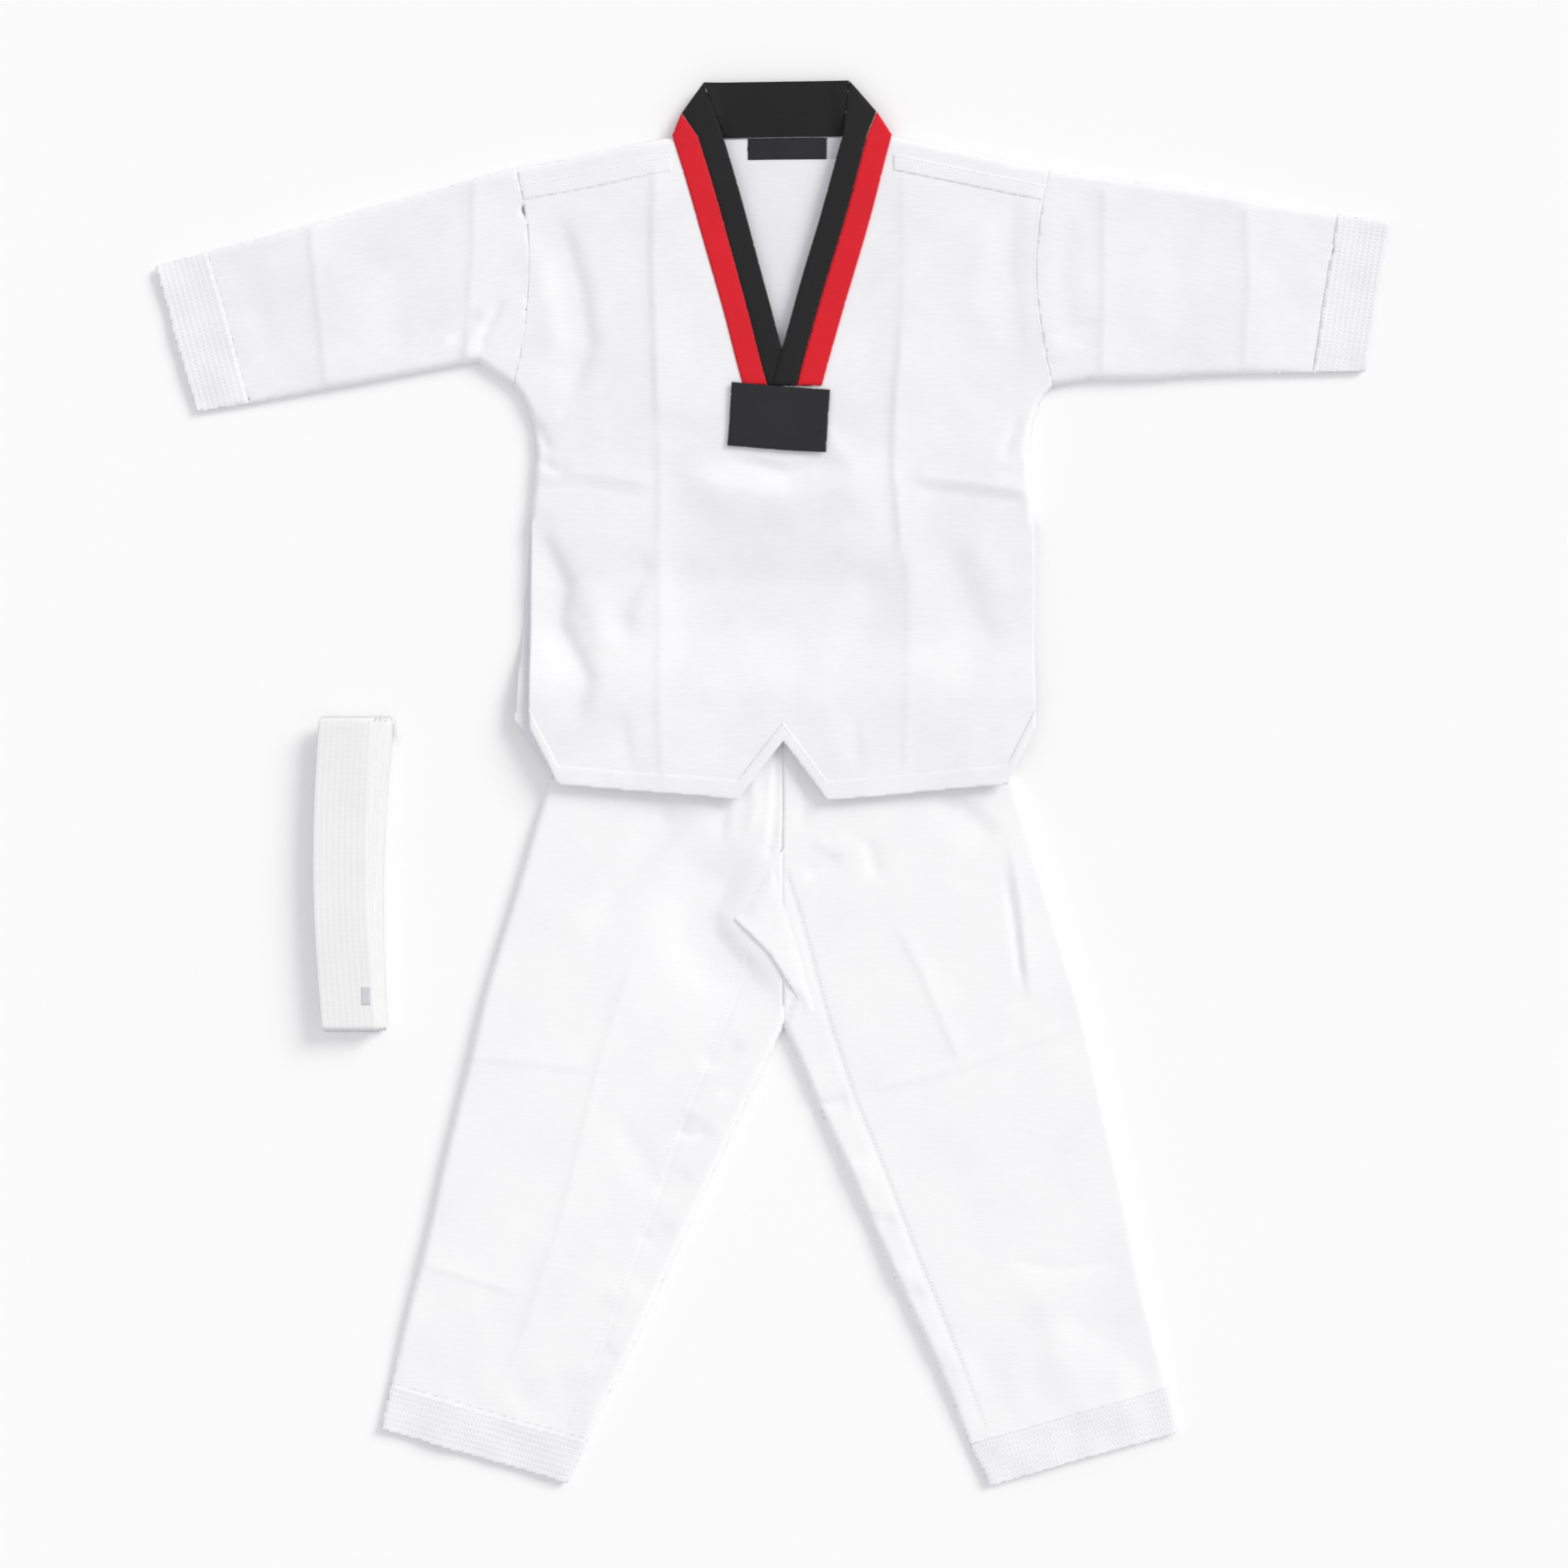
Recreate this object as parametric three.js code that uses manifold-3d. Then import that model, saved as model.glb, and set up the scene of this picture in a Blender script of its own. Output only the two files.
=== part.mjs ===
import * as THREE from 'three';
import { mergeVertices } from 'three/addons/utils/BufferGeometryUtils.js';
import Module from 'manifold-3d';

// A child's V-neck martial arts uniform, laid out flat: a jacket whose tails lie over the waist of
// a pair of trousers, and a folded belt beside them. Millimetres, +X to the wearer's left as it
// lies, +Y towards the collar, +Z up from the floor.

// Cloth and clearances
const cloth = 1.2;
const trim = 0.9;
const gap = 0.3;
const loft = 7.0;
const seamWidth = 3.0;

// Jacket body
const shoulderWidth = 430;
const armpitWidth = 434;
const chestWidth = 396;
const tailWidth = 405;
const armholeDepth = 175;
const armholeBow = 12;
const armpitDrop = 56;
const shoulderRise = 25;
const sideSeamLength = 104;
const slitLength = 228;
const hemCornerWidth = 24;
const hemCornerHeight = 46;
const hemSweep = 12;
const hemBand = 16;
const notchWidth = 70;
const notchHeight = 46;
const backTailFlare = 12;
const backHemInset = 6;
const rampLength = 42;

// Shoulder reinforcement
const yokeDepth = 14;
const shoulderBand = 14;

// Collar, patch and labels
const neckWidth = 176;
const stripeWidth = 20;
const vBottomWidth = 64;
const lapelOverlap = 8;
const collarHeight = 43;
const collarTopWidth = 116;
const collarShoulder = 18;
const collarLean = -5;
const patchWidth = 80;
const patchHeight = 51;
const patchTilt = -4;
const patchShift = -3;
const labelWidth = 64;
const labelHeight = 17;
const tagWidth = 13;
const tagHeight = 16;
const labelShift = 3;

// Sleeves: the two lie at their own angles
const sleeveCuffWidth = 121;
const sleeveCuffBand = 42;
const underarmRun = 28;
const sleeves = {
  right: { side: -1, length: 298, droop: 15.4, underarmLift: 19 },
  left: { side: 1, length: 275, droop: 9, underarmLift: 5 },
};

// Trousers
const waistWidth = 312;
const waistCover = 88;
const rise = 270;
const hipWidth = 372;
const hipDrop = 72;
const thighWidth = 482;
const thighDrop = 248;
const inseamLength = 404;
const legCuffWidth = 157;
const legCuffTilt = 16;
const legCuffBand = 36;
const shinLength = 166;
const gussetPeak = 144;
const gussetHem = 14;
const gussetFoldHeight = 84;
const gussetFoldWidth = 50;
const waistbandHeight = 36;
const casingLayer = 0.6;
const elasticWidth = 28;
const elasticThickness = 0.6;
const legs = {
  right: { side: -1, spread: 25.2 },
  left: { side: 1, spread: 24.2 },
};

// Belt: one long strap folded to and fro into a flat bundle
const beltWidth = 44;
const beltFold = 251;
const beltLayers = 9;
const beltFan = 12;
const beltThickness = 1.6;
const beltX = -348;
const beltY = -59;
const beltLabelWidth = 7;
const beltLabelHeight = 14;

// Levels above the floor
const frontLow = cloth + loft;
const frontTop = frontLow + cloth;
const raise = frontTop + gap;
const casingThickness = 2 * casingLayer + elasticThickness + 2 * gap;

// Heights along the layout, measured from the jacket's hem
const hemY = 0;
const slitTopY = hemY + slitLength;
const armpitY = slitTopY + sideSeamLength;
const shoulderY = armpitY + armholeDepth;
const neckY = shoulderY + shoulderRise;
const collarTopY = neckY + collarHeight;
const patchTopY = armpitY;
const waistY = hemY + waistCover;
const crotchY = waistY - rise;
const rampTopY = waistY + gap + rampLength;
const rampFootY = waistY + 2 * gap;

const reach = 3000;
const radians = THREE.MathUtils.degToRad;

const wasm = await Module();
wasm.setup();

// A closed three.js geometry as a solid that can be joined and cut
function solidOf(geometry) {
  geometry.deleteAttribute('normal');
  geometry.deleteAttribute('uv');
  const merged = mergeVertices(geometry, 1e-4);
  return new wasm.Manifold(new wasm.Mesh({
    numProp: 3,
    vertProperties: new Float32Array(merged.attributes.position.array),
    triVerts: new Uint32Array(merged.index.array),
  }));
}

function geometryOf(solid) {
  const mesh = solid.getMesh();
  const geometry = new THREE.BufferGeometry();
  geometry.setAttribute('position', new THREE.BufferAttribute(mesh.vertProperties, 3));
  geometry.setIndex(new THREE.BufferAttribute(mesh.triVerts, 1));
  geometry.computeVertexNormals();
  return geometry;
}

// An outline in plan, raised between two heights
function plate(points, low, high) {
  const shape = new THREE.Shape(points.map(([x, y]) => new THREE.Vector2(x, y)));
  const geometry = new THREE.ExtrudeGeometry(shape, { depth: high - low, bevelEnabled: false });
  geometry.translate(0, 0, low);
  return solidOf(geometry);
}

// All the space between two heights
function everywhere(low, high) {
  return plate([[-reach, -reach], [reach, -reach], [reach, reach], [-reach, reach]], low, high);
}

// A side view of points [y, z], drawn out along X as wide as anything it meets
function ribbon(points) {
  const shape = new THREE.Shape(points.map(([y, z]) => new THREE.Vector2(y, z)));
  const geometry = new THREE.ExtrudeGeometry(shape, { depth: 2 * reach, bevelEnabled: false });
  const turned = new THREE.Matrix4().makeBasis(
    new THREE.Vector3(0, 1, 0),
    new THREE.Vector3(0, 0, 1),
    new THREE.Vector3(1, 0, 0),
  );
  geometry.applyMatrix4(turned);
  geometry.translate(-reach, 0, 0);
  return solidOf(geometry);
}

// Everything on the near side of a line in plan: the side that its outward direction leaves
function halfPlane([x, y], [outX, outY]) {
  const length = Math.hypot(outX, outY);
  const geometry = new THREE.BoxGeometry(reach, 2 * reach, reach);
  geometry.translate(-reach / 2, 0, 0);
  geometry.rotateZ(Math.atan2(outY / length, outX / length));
  geometry.translate(x, y, 0);
  return solidOf(geometry);
}

function shifted([x, y], [dx, dy], distance) {
  const length = Math.hypot(dx, dy);
  return [x + (dx / length) * distance, y + (dy / length) * distance];
}

// A wall's points run so that its inner copy lies on the piece's side
function orient(points, side) {
  return side > 0 ? points : [...points].reverse();
}

// Keeps only the biggest of the bodies that a cut leaves
function largest(solid) {
  const bodies = solid.decompose();
  bodies.sort((a, b) => b.volume() - a.volume());
  return bodies[0];
}

function mirror(points) {
  return points.map(([x, y]) => [-x, y]);
}

// A narrow closed seam that stands between the lower and upper cloth along an edge
function seamWall(points, inward) {
  const inner = points.map((point) => shifted(point, inward, seamWidth));
  return plate([...points, ...inner.reverse()], cloth + gap, frontLow - gap);
}

function curve(start, control, end, steps) {
  const bezier = new THREE.QuadraticBezierCurve(
    new THREE.Vector2(...start),
    new THREE.Vector2(...control),
    new THREE.Vector2(...end),
  );
  return bezier.getPoints(steps).map(({ x, y }) => [x, y]);
}

const uniform = new THREE.Group();

function add(name, shape, color, roughness, metalness = 0) {
  const geometry = shape.isBufferGeometry ? shape : geometryOf(shape);
  const material = new THREE.MeshStandardMaterial({ color, roughness, metalness });
  const mesh = new THREE.Mesh(geometry, material);
  mesh.name = name;
  uniform.add(mesh);
  return mesh;
}

const white = 0xf3f3f1;
const seamWhite = 0xe6e6e3;
const black = 0x17171a;
const red = 0xc8102a;
const webbing = 0xf5f4f0;
const elastic = 0xdcdcd8;

// Armhole and side of the body, on the +X side, from the shoulder down
const shoulderTip = [shoulderWidth / 2, shoulderY];
const armpit = [armpitWidth / 2, armpitY];
const chest = [chestWidth / 2, armpitY - armpitDrop];
const slitTop = [tailWidth / 2, slitTopY];
const armholeMiddle = [
  (shoulderTip[0] + armpit[0]) / 2 - 2 * armholeBow,
  (shoulderTip[1] + armpit[1]) / 2,
];
const armhole = curve(shoulderTip, armholeMiddle, armpit, 8);
const armpitCorner = [chest[0], armpitY - armpitDrop / 3];
const armpitCurve = curve(armpit, armpitCorner, chest, 6);
const bodySide = [...armhole, ...armpitCurve.slice(1), slitTop];
const bodyEdge = bodySide.map(([x, y]) => [x - gap, y]);

// Jacket tail below the slits, the same for front and back but for its flare
function tailEdge(flare, lift) {
  const half = tailWidth / 2;
  const cornerX = half - hemCornerWidth;
  return [
    [half - gap + flare, hemY + lift + hemCornerHeight + hemSweep],
    [cornerX, hemY + lift + hemSweep],
    [notchWidth / 2, hemY + lift],
    [0, hemY + lift + notchHeight],
  ];
}

function layer(low, thickness) {
  return ribbon([
    [-reach, low + raise],
    [rampFootY, low + raise],
    [rampTopY, low],
    [reach, low],
    [reach, low + thickness],
    [rampTopY, low + thickness],
    [rampFootY, low + raise + thickness],
    [-reach, low + raise + thickness],
  ]);
}

const tall = 60;
const neckPoint = [neckWidth / 2, neckY];

// Back panel, from the neck to the back hem
const backLeft = [neckPoint, ...bodyEdge, ...tailEdge(0, backHemInset)];
const backRight = [neckPoint, ...bodyEdge, ...tailEdge(backTailFlare, backHemInset)];
const backOutline = [...backLeft, ...mirror(backRight).slice(0, -1).reverse()];
const backBlank = plate(backOutline, -tall, tall);
add('jacket_back_panel', backBlank.intersect(layer(0, cloth)), white, 0.85);

const backHemCut = backBlank.subtract(backBlank.translate([0, hemBand, 0]));
const backHemZone = backHemCut.intersect(halfPlane([0, slitTopY - gap], [0, 1]));
const insideRight = halfPlane([-tailWidth / 2 + gap, 0], [-1, 0]);
const insideSlits = halfPlane([tailWidth / 2 - gap, 0], [1, 0]).intersect(insideRight);
const backHemSolid = backHemZone.intersect(insideSlits).intersect(layer(cloth + gap, trim));
add('jacket_back_hem', largest(backHemSolid), white, 0.8);

// Front panel above the slits, open at the neck in a V that the lapels edge
const vTop = [neckWidth / 2 - lapelOverlap, neckY];
const vFoot = [vBottomWidth / 2 - lapelOverlap, patchTopY];
const frontHalf = [vFoot, vTop, neckPoint, ...bodyEdge];
const frontOutline = [...frontHalf, ...mirror(frontHalf).reverse()];
const frontBlank = plate(frontOutline, frontLow, frontTop);
const shoulderRun = [shoulderTip[0] - neckPoint[0], shoulderTip[1] - neckPoint[1]];
const shoulderUp = [-shoulderRun[1], shoulderRun[0]];

function belowShoulder(depth, side) {
  const start = shifted(neckPoint, shoulderUp, -depth);
  return halfPlane([side * start[0], start[1]], [side * shoulderUp[0], shoulderUp[1]]);
}

function yokeLine(depth) {
  return belowShoulder(depth, 1).intersect(belowShoulder(depth, -1));
}

add('jacket_front_panel', frontBlank.intersect(yokeLine(yokeDepth)), white, 0.85);

// Shoulder yokes: the top of the back panel, brought over the shoulder to the front
const shoulderPieces = { right: -1, left: 1 };
for (const [hand, side] of Object.entries(shoulderPieces)) {
  const sideOnly = halfPlane([0, 0], [-side, 0]);
  const top = frontBlank.subtract(yokeLine(yokeDepth - gap)).intersect(sideOnly);
  const shoulderStrip = plate(frontOutline, cloth + gap, frontTop).subtract(yokeLine(cloth));
  const edge = shoulderStrip.intersect(sideOnly);
  add(`${hand}_shoulder_yoke`, largest(top.add(edge)), white, 0.85);

  const bandBlank = plate(frontOutline, frontTop + gap, frontTop + gap + trim).intersect(sideOnly);
  const clearOfLapel = halfPlane([side * (neckWidth / 2 + gap), 0], [-side, 0]);
  const band = bandBlank.intersect(belowShoulder(yokeDepth, side));
  const bandCut = band.subtract(belowShoulder(yokeDepth + shoulderBand, side)).intersect(clearOfLapel);
  add(`${hand}_shoulder_band`, largest(bandCut), white, 0.8);

  const seamPoints = bodyEdge.slice(armhole.length - 1).map(([x, y]) => [side * x, y]);
  add(`${hand}_side_seam`, seamWall(orient(seamPoints, side), [-side, 0]), seamWhite, 0.9);
}

// Front tail, free below the slits, with its stitched hem
const tailPoints = [[tailWidth / 2 - gap, slitTopY - gap], ...tailEdge(0, 0)];
const tailOutline = [...tailPoints, ...mirror(tailPoints).slice(0, -1).reverse()];
const tailBlank = plate(tailOutline, -tall, tall);
add('jacket_front_tail', tailBlank.intersect(layer(frontLow, cloth)), white, 0.85);
const frontHemZone = tailBlank.subtract(tailBlank.translate([0, hemBand, 0]));
add('jacket_front_hem', frontHemZone.intersect(layer(frontTop + gap, trim)), white, 0.8);

// Lapels: a red and a black stripe down each side of the V, the wearer's left over the right
function lapelPoint(side, offset, share) {
  const half = THREE.MathUtils.lerp(neckWidth / 2, vBottomWidth / 2, share);
  return [side * (half - offset), THREE.MathUtils.lerp(neckY, patchTopY, share)];
}

function collarPoint(side, half, height, lean) {
  return [side * half + lean, neckY + height];
}

const lapels = { right: { side: -1, level: 0 }, left: { side: 1, level: 1 } };
for (const [hand, { side, level }] of Object.entries(lapels)) {
  const low = frontTop + gap + level * (trim + gap);
  const corner = collarPoint(side, neckWidth / 2 - stripeWidth / 2, collarShoulder, collarLean / 2);
  const top = collarPoint(side, collarTopWidth / 2, collarHeight, collarLean);
  const redStripe = [
    lapelPoint(side, 0, 0),
    corner,
    lapelPoint(side, stripeWidth, 0),
    lapelPoint(side, stripeWidth, 1),
    lapelPoint(side, 0, 1),
  ];
  const blackStripe = [
    [corner[0] - side * gap, corner[1]],
    top,
    lapelPoint(side, 2 * stripeWidth, 0),
    lapelPoint(side, 2 * stripeWidth, 1),
    lapelPoint(side, stripeWidth + gap, 1),
    lapelPoint(side, stripeWidth + gap, 0),
  ];
  add(`${hand}_lapel_red`, plate(redStripe, low, low + trim), red, 0.8);
  add(`${hand}_lapel_black`, plate(blackStripe, low, low + trim), black, 0.85);
}

// Collar stand at the back of the neck, leaning up from the back panel to the lapels' level
const standFoot = neckWidth / 2 - 2 * stripeWidth;
const standOutline = [
  collarPoint(-1, standFoot, gap, 0),
  collarPoint(1, standFoot, gap, 0),
  collarPoint(1, collarTopWidth / 2, collarHeight, collarLean),
  collarPoint(-1, collarTopWidth / 2, collarHeight, collarLean),
];
const standLean = ribbon([
  [neckY, cloth + gap],
  [collarTopY, frontLow - gap],
  [collarTopY, frontTop - gap],
  [neckY, 2 * cloth + gap],
]);
add('collar_stand', plate(standOutline, -tall, tall).intersect(standLean), black, 0.85);

const patchZ = frontTop + gap + 2 * (trim + gap) + trim / 2;
const patch = add('chest_patch', new THREE.BoxGeometry(patchWidth, patchHeight, trim), black, 0.6);
patch.position.set(patchShift, patchTopY - patchHeight / 2 - 2 * gap, patchZ);
patch.rotation.z = radians(patchTilt);

const labelZ = cloth + gap + trim / 2;
const label = add('neck_label', new THREE.BoxGeometry(labelWidth, labelHeight, trim), black, 0.6);
label.position.set(labelShift, neckY - labelHeight / 2 - gap, labelZ);
const tag = add('size_tag', new THREE.BoxGeometry(tagWidth, tagHeight, trim), white, 0.6);
const tagX = labelShift + labelWidth / 2 + gap + tagWidth / 2;
tag.position.set(tagX, neckY - tagHeight / 2 - 2 * gap, labelZ);

// Sleeves: two layers, a fold along the top, a seam under the arm and a stitched cuff
for (const [hand, { side, length, droop, underarmLift }] of Object.entries(sleeves)) {
  const along = [side * Math.cos(radians(droop)), -Math.sin(radians(droop))];
  const across = [-side * Math.sin(radians(droop)), -Math.cos(radians(droop))];
  const tip = [side * shoulderTip[0], shoulderTip[1]];
  const cuffTop = shifted(tip, along, length);
  const cuffFoot = shifted(cuffTop, across, sleeveCuffWidth);
  const pit = [side * armpit[0], armpit[1]];
  const underarm = [pit[0] + side * underarmRun, pit[1] + underarmLift];
  const opening = armhole.map(([x, y]) => [side * x, y]);
  const outline = [cuffTop, cuffFoot, underarm, ...opening.slice().reverse()];
  const cuffStart = shifted(cuffTop, along, -sleeveCuffBand);
  const beforeCuff = halfPlane(cuffStart, along);
  const afterCuff = halfPlane(shifted(cuffStart, along, gap), [-along[0], -along[1]]);

  const lower = plate(outline, 0, cloth).intersect(beforeCuff);
  const upper = plate(outline, frontLow, frontTop).intersect(beforeCuff);
  add(`${hand}_sleeve_back`, lower, white, 0.85);
  add(`${hand}_sleeve_front`, upper, white, 0.85);

  const fold = seamWall(orient([tip, cuffTop], -side), across).intersect(beforeCuff);
  add(`${hand}_sleeve_fold`, fold, seamWhite, 0.9);
  const underRun = [underarm, cuffFoot];
  const inwards = [-across[0], -across[1]];
  const under = seamWall(orient(underRun, side), inwards).intersect(beforeCuff);
  add(`${hand}_underarm_seam`, under, seamWhite, 0.9);

  const topEdge = halfPlane(shifted(cuffTop, across, cloth), [-across[0], -across[1]]);
  const footRun = [cuffFoot[0] - underarm[0], cuffFoot[1] - underarm[1]];
  const footOut = [side * footRun[1], -side * footRun[0]];
  const footEdge = halfPlane(shifted(cuffFoot, footOut, -cloth), footOut);
  const hollow = everywhere(cloth, frontLow).intersect(topEdge).intersect(footEdge);
  const cuff = plate(outline, 0, frontTop).intersect(afterCuff).subtract(hollow);
  add(`${hand}_sleeve_cuff`, cuff, white, 0.8);
}

// Trousers: each leg is a front and a back layer, folded at the shin, with an inner gusset
const waist = [waistWidth / 2, waistY - waistbandHeight - gap];
const hip = [hipWidth / 2, waistY - hipDrop];
const thigh = [thighWidth / 2, waistY - thighDrop];
for (const [hand, { side, spread }] of Object.entries(legs)) {
  const place = ([x, y]) => [side * x, y];
  const inseamAlong = [side * Math.sin(radians(spread)), -Math.cos(radians(spread))];
  const cuffAlong = [side * Math.cos(radians(legCuffTilt)), Math.sin(radians(legCuffTilt))];
  const crotch = [side * gap, crotchY];
  const cuffInner = shifted(crotch, inseamAlong, inseamLength);
  const cuffOuter = shifted(cuffInner, cuffAlong, legCuffWidth);
  const centreTop = [side * gap, waist[1]];
  const outline = [centreTop, place(waist), place(hip), place(thigh), cuffOuter, cuffInner, crotch];
  const creaseY = crotchY - inseamLength * Math.cos(radians(spread)) + shinLength;

  const cuffUp = [side * -cuffAlong[1], side * cuffAlong[0]];
  const upwards = cuffUp[1] > 0 ? cuffUp : [-cuffUp[0], -cuffUp[1]];
  const cuffStart = shifted(cuffInner, upwards, legCuffBand);
  const aboveCuff = halfPlane(shifted(cuffStart, upwards, gap), [-upwards[0], -upwards[1]]);
  const belowCuff = halfPlane(cuffStart, upwards);
  const aboveCrease = halfPlane([0, creaseY + gap / 2], [0, -1]);
  const belowCrease = halfPlane([0, creaseY - gap / 2], [0, 1]);

  const lower = plate(outline, 0, cloth);
  const upper = plate(outline, frontLow, frontTop);
  const gussetStart = [0, crotchY + gussetPeak];
  const gussetEnd = shifted(cuffInner, cuffAlong, gussetHem);
  const seamRun = [gussetEnd[0] - gussetStart[0], gussetEnd[1] - gussetStart[1]];
  const seamIn = [side * seamRun[1], -side * seamRun[0]];
  const outerSide = halfPlane(shifted(gussetStart, seamIn, -gap / 2), seamIn);
  const innerSide = halfPlane(shifted(gussetStart, seamIn, gap / 2), [-seamIn[0], -seamIn[1]]);

  add(`${hand}_leg_back`, lower.intersect(aboveCrease), white, 0.85);
  add(`${hand}_leg_front`, upper.intersect(aboveCrease).intersect(outerSide), white, 0.85);
  add(`${hand}_inner_gusset`, largest(upper.intersect(aboveCrease).intersect(innerSide)), white, 0.85);
  add(`${hand}_shin_back`, lower.intersect(belowCrease).intersect(aboveCuff), white, 0.85);
  add(`${hand}_shin_front`, upper.intersect(belowCrease).intersect(aboveCuff), white, 0.85);

  const outerRun = [place(waist), place(hip), place(thigh), cuffOuter];
  const innerRun = [crotch, cuffInner];
  const outseam = seamWall(orient(outerRun, side), [-side, 0]);
  const inseam = seamWall(orient(innerRun, -side), [side, 0]);
  add(`${hand}_leg_outseam`, outseam.intersect(aboveCrease), seamWhite, 0.9);
  add(`${hand}_leg_inseam`, inseam.intersect(aboveCrease), seamWhite, 0.9);
  add(`${hand}_shin_outseam`, outseam.intersect(belowCrease).intersect(aboveCuff), seamWhite, 0.9);
  add(`${hand}_shin_inseam`, inseam.intersect(belowCrease).intersect(aboveCuff), seamWhite, 0.9);

  const outerLine = [cuffOuter[0] - side * thigh[0], cuffOuter[1] - thigh[1]];
  const outerOut = [-side * outerLine[1], side * outerLine[0]];
  const innerOut = [side * inseamAlong[1], -side * inseamAlong[0]];
  const outerWall = halfPlane(shifted(cuffOuter, outerOut, -cloth), outerOut);
  const innerWall = halfPlane(shifted(cuffInner, innerOut, -cloth), innerOut);
  const hollow = everywhere(cloth, frontLow).intersect(outerWall).intersect(innerWall);
  const cuff = plate(outline, 0, frontTop).intersect(belowCuff).subtract(hollow);
  add(`${hand}_leg_cuff`, cuff, white, 0.8);
}

// Crotch gusset: a folded diamond that lies over the front layers
const gussetFold = [
  [-0.75 * gussetFoldWidth, crotchY + gussetFoldHeight],
  [-0.8 * gussetFoldWidth, crotchY + gussetFoldHeight / 3],
  [0, crotchY],
  [0.2 * gussetFoldWidth, crotchY + gussetFoldHeight / 4],
];
add('crotch_gusset', plate(gussetFold, frontTop + gap, frontTop + gap + trim), white, 0.85);

// Waistband: a casing on each side of the waist with flat elastic drawn through it
const casingSides = {
  back: { low: 0 },
  front: { low: frontTop - casingThickness },
};
const casingFootY = waistY - waistbandHeight;
for (const [face, { low }] of Object.entries(casingSides)) {
  const width = waistWidth / 2;
  const casingOutline = [[-width, casingFootY], [width, casingFootY], [width, waistY], [-width, waistY]];
  const tunnelLow = casingFootY + (waistbandHeight - elasticWidth) / 2 - gap;
  const tunnelHigh = tunnelLow + elasticWidth + 2 * gap;
  const tunnelOutline = [[-reach, tunnelLow], [reach, tunnelLow], [reach, tunnelHigh], [-reach, tunnelHigh]];
  const slotLow = low + casingLayer;
  const slotHigh = slotLow + elasticThickness + 2 * gap;
  const casing = plate(casingOutline, low, low + casingThickness);
  add(`waistband_${face}`, casing.subtract(plate(tunnelOutline, slotLow, slotHigh)), white, 0.85);
  const bandGeometry = new THREE.BoxGeometry(waistWidth, elasticWidth, elasticThickness);
  const band = add(`waist_elastic_${face}`, bandGeometry, elastic, 0.7);
  band.position.set(0, (tunnelLow + tunnelHigh) / 2, (slotLow + slotHigh) / 2);
}

// Belt: the lower layers are one folded strap, and the top layer opens from the fold
const beltPitch = beltThickness + gap;
const beltNear = beltY - beltFold / 2;
const beltFar = beltY + beltFold / 2;
const foldedLayers = beltLayers - 1;
const beltPieces = [];
function fanned(count) {
  return beltX + beltFan * (1 - count / foldedLayers);
}

for (let count = 0; count < foldedLayers; count += 1) {
  const low = count * beltPitch;
  const run = new THREE.BoxGeometry(beltWidth, beltFold, beltThickness);
  run.translate(fanned(count), beltY, low + beltThickness / 2);
  beltPieces.push(solidOf(run));
  if (count < foldedLayers - 1) {
    const turn = new THREE.BoxGeometry(beltWidth, beltThickness, beltPitch + beltThickness);
    const turnY = count % 2 === 0 ? beltFar - beltThickness / 2 : beltNear + beltThickness / 2;
    turn.translate(fanned(count + 0.5), turnY, low + (beltPitch + beltThickness) / 2);
    beltPieces.push(solidOf(turn));
  }
}
const beltSolid = beltPieces.reduce((joined, piece) => joined.add(piece));
add('belt_folded_strap', beltSolid, webbing, 0.75);
const topLow = foldedLayers * beltPitch;
const topRun = new THREE.BoxGeometry(beltWidth, beltFold, beltThickness);
const beltTop = add('belt_top_layer', topRun, webbing, 0.75);
beltTop.position.set(beltX, beltY, topLow + beltThickness / 2);
const beltLabelShape = new THREE.BoxGeometry(beltLabelWidth, beltLabelHeight, trim);
const beltLabel = add('belt_label', beltLabelShape, white, 0.6);
const beltLabelX = beltX + beltWidth / 2 - beltLabelWidth;
const beltLabelY = beltNear + 2 * beltLabelHeight;
beltLabel.position.set(beltLabelX, beltLabelY, topLow + beltThickness + gap + trim / 2);

// Origin at the centre of the whole layout, on the floor
const extent = new THREE.Box3().setFromObject(uniform);
const centre = extent.getCenter(new THREE.Vector3());
uniform.position.set(-centre.x, -centre.y, -extent.min.z);

export default uniform;
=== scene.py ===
"""A child's V-neck martial arts uniform, laid out flat: jacket, trousers and folded belt."""
import math

import bmesh
import bpy
import numpy as np
from mathutils import Matrix, Vector, noise


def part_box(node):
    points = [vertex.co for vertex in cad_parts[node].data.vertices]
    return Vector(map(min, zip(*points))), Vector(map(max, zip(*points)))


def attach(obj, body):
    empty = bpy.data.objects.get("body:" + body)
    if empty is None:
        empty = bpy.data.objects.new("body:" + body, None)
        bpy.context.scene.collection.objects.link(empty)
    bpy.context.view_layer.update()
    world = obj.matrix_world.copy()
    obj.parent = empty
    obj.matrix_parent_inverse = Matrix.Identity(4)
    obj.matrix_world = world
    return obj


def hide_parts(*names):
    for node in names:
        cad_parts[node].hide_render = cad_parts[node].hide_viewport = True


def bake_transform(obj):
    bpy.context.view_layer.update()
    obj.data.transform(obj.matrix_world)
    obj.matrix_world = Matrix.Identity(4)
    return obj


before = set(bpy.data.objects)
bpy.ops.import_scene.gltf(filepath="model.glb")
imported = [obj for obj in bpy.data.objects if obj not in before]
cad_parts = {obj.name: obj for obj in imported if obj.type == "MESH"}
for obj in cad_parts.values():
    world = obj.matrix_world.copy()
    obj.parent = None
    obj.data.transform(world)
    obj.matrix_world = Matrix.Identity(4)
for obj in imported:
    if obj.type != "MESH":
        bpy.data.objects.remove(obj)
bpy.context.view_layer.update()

MM = 0.001
HANDS = {"right": -1, "left": 1}
GRID = 2.6 * MM
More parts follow.
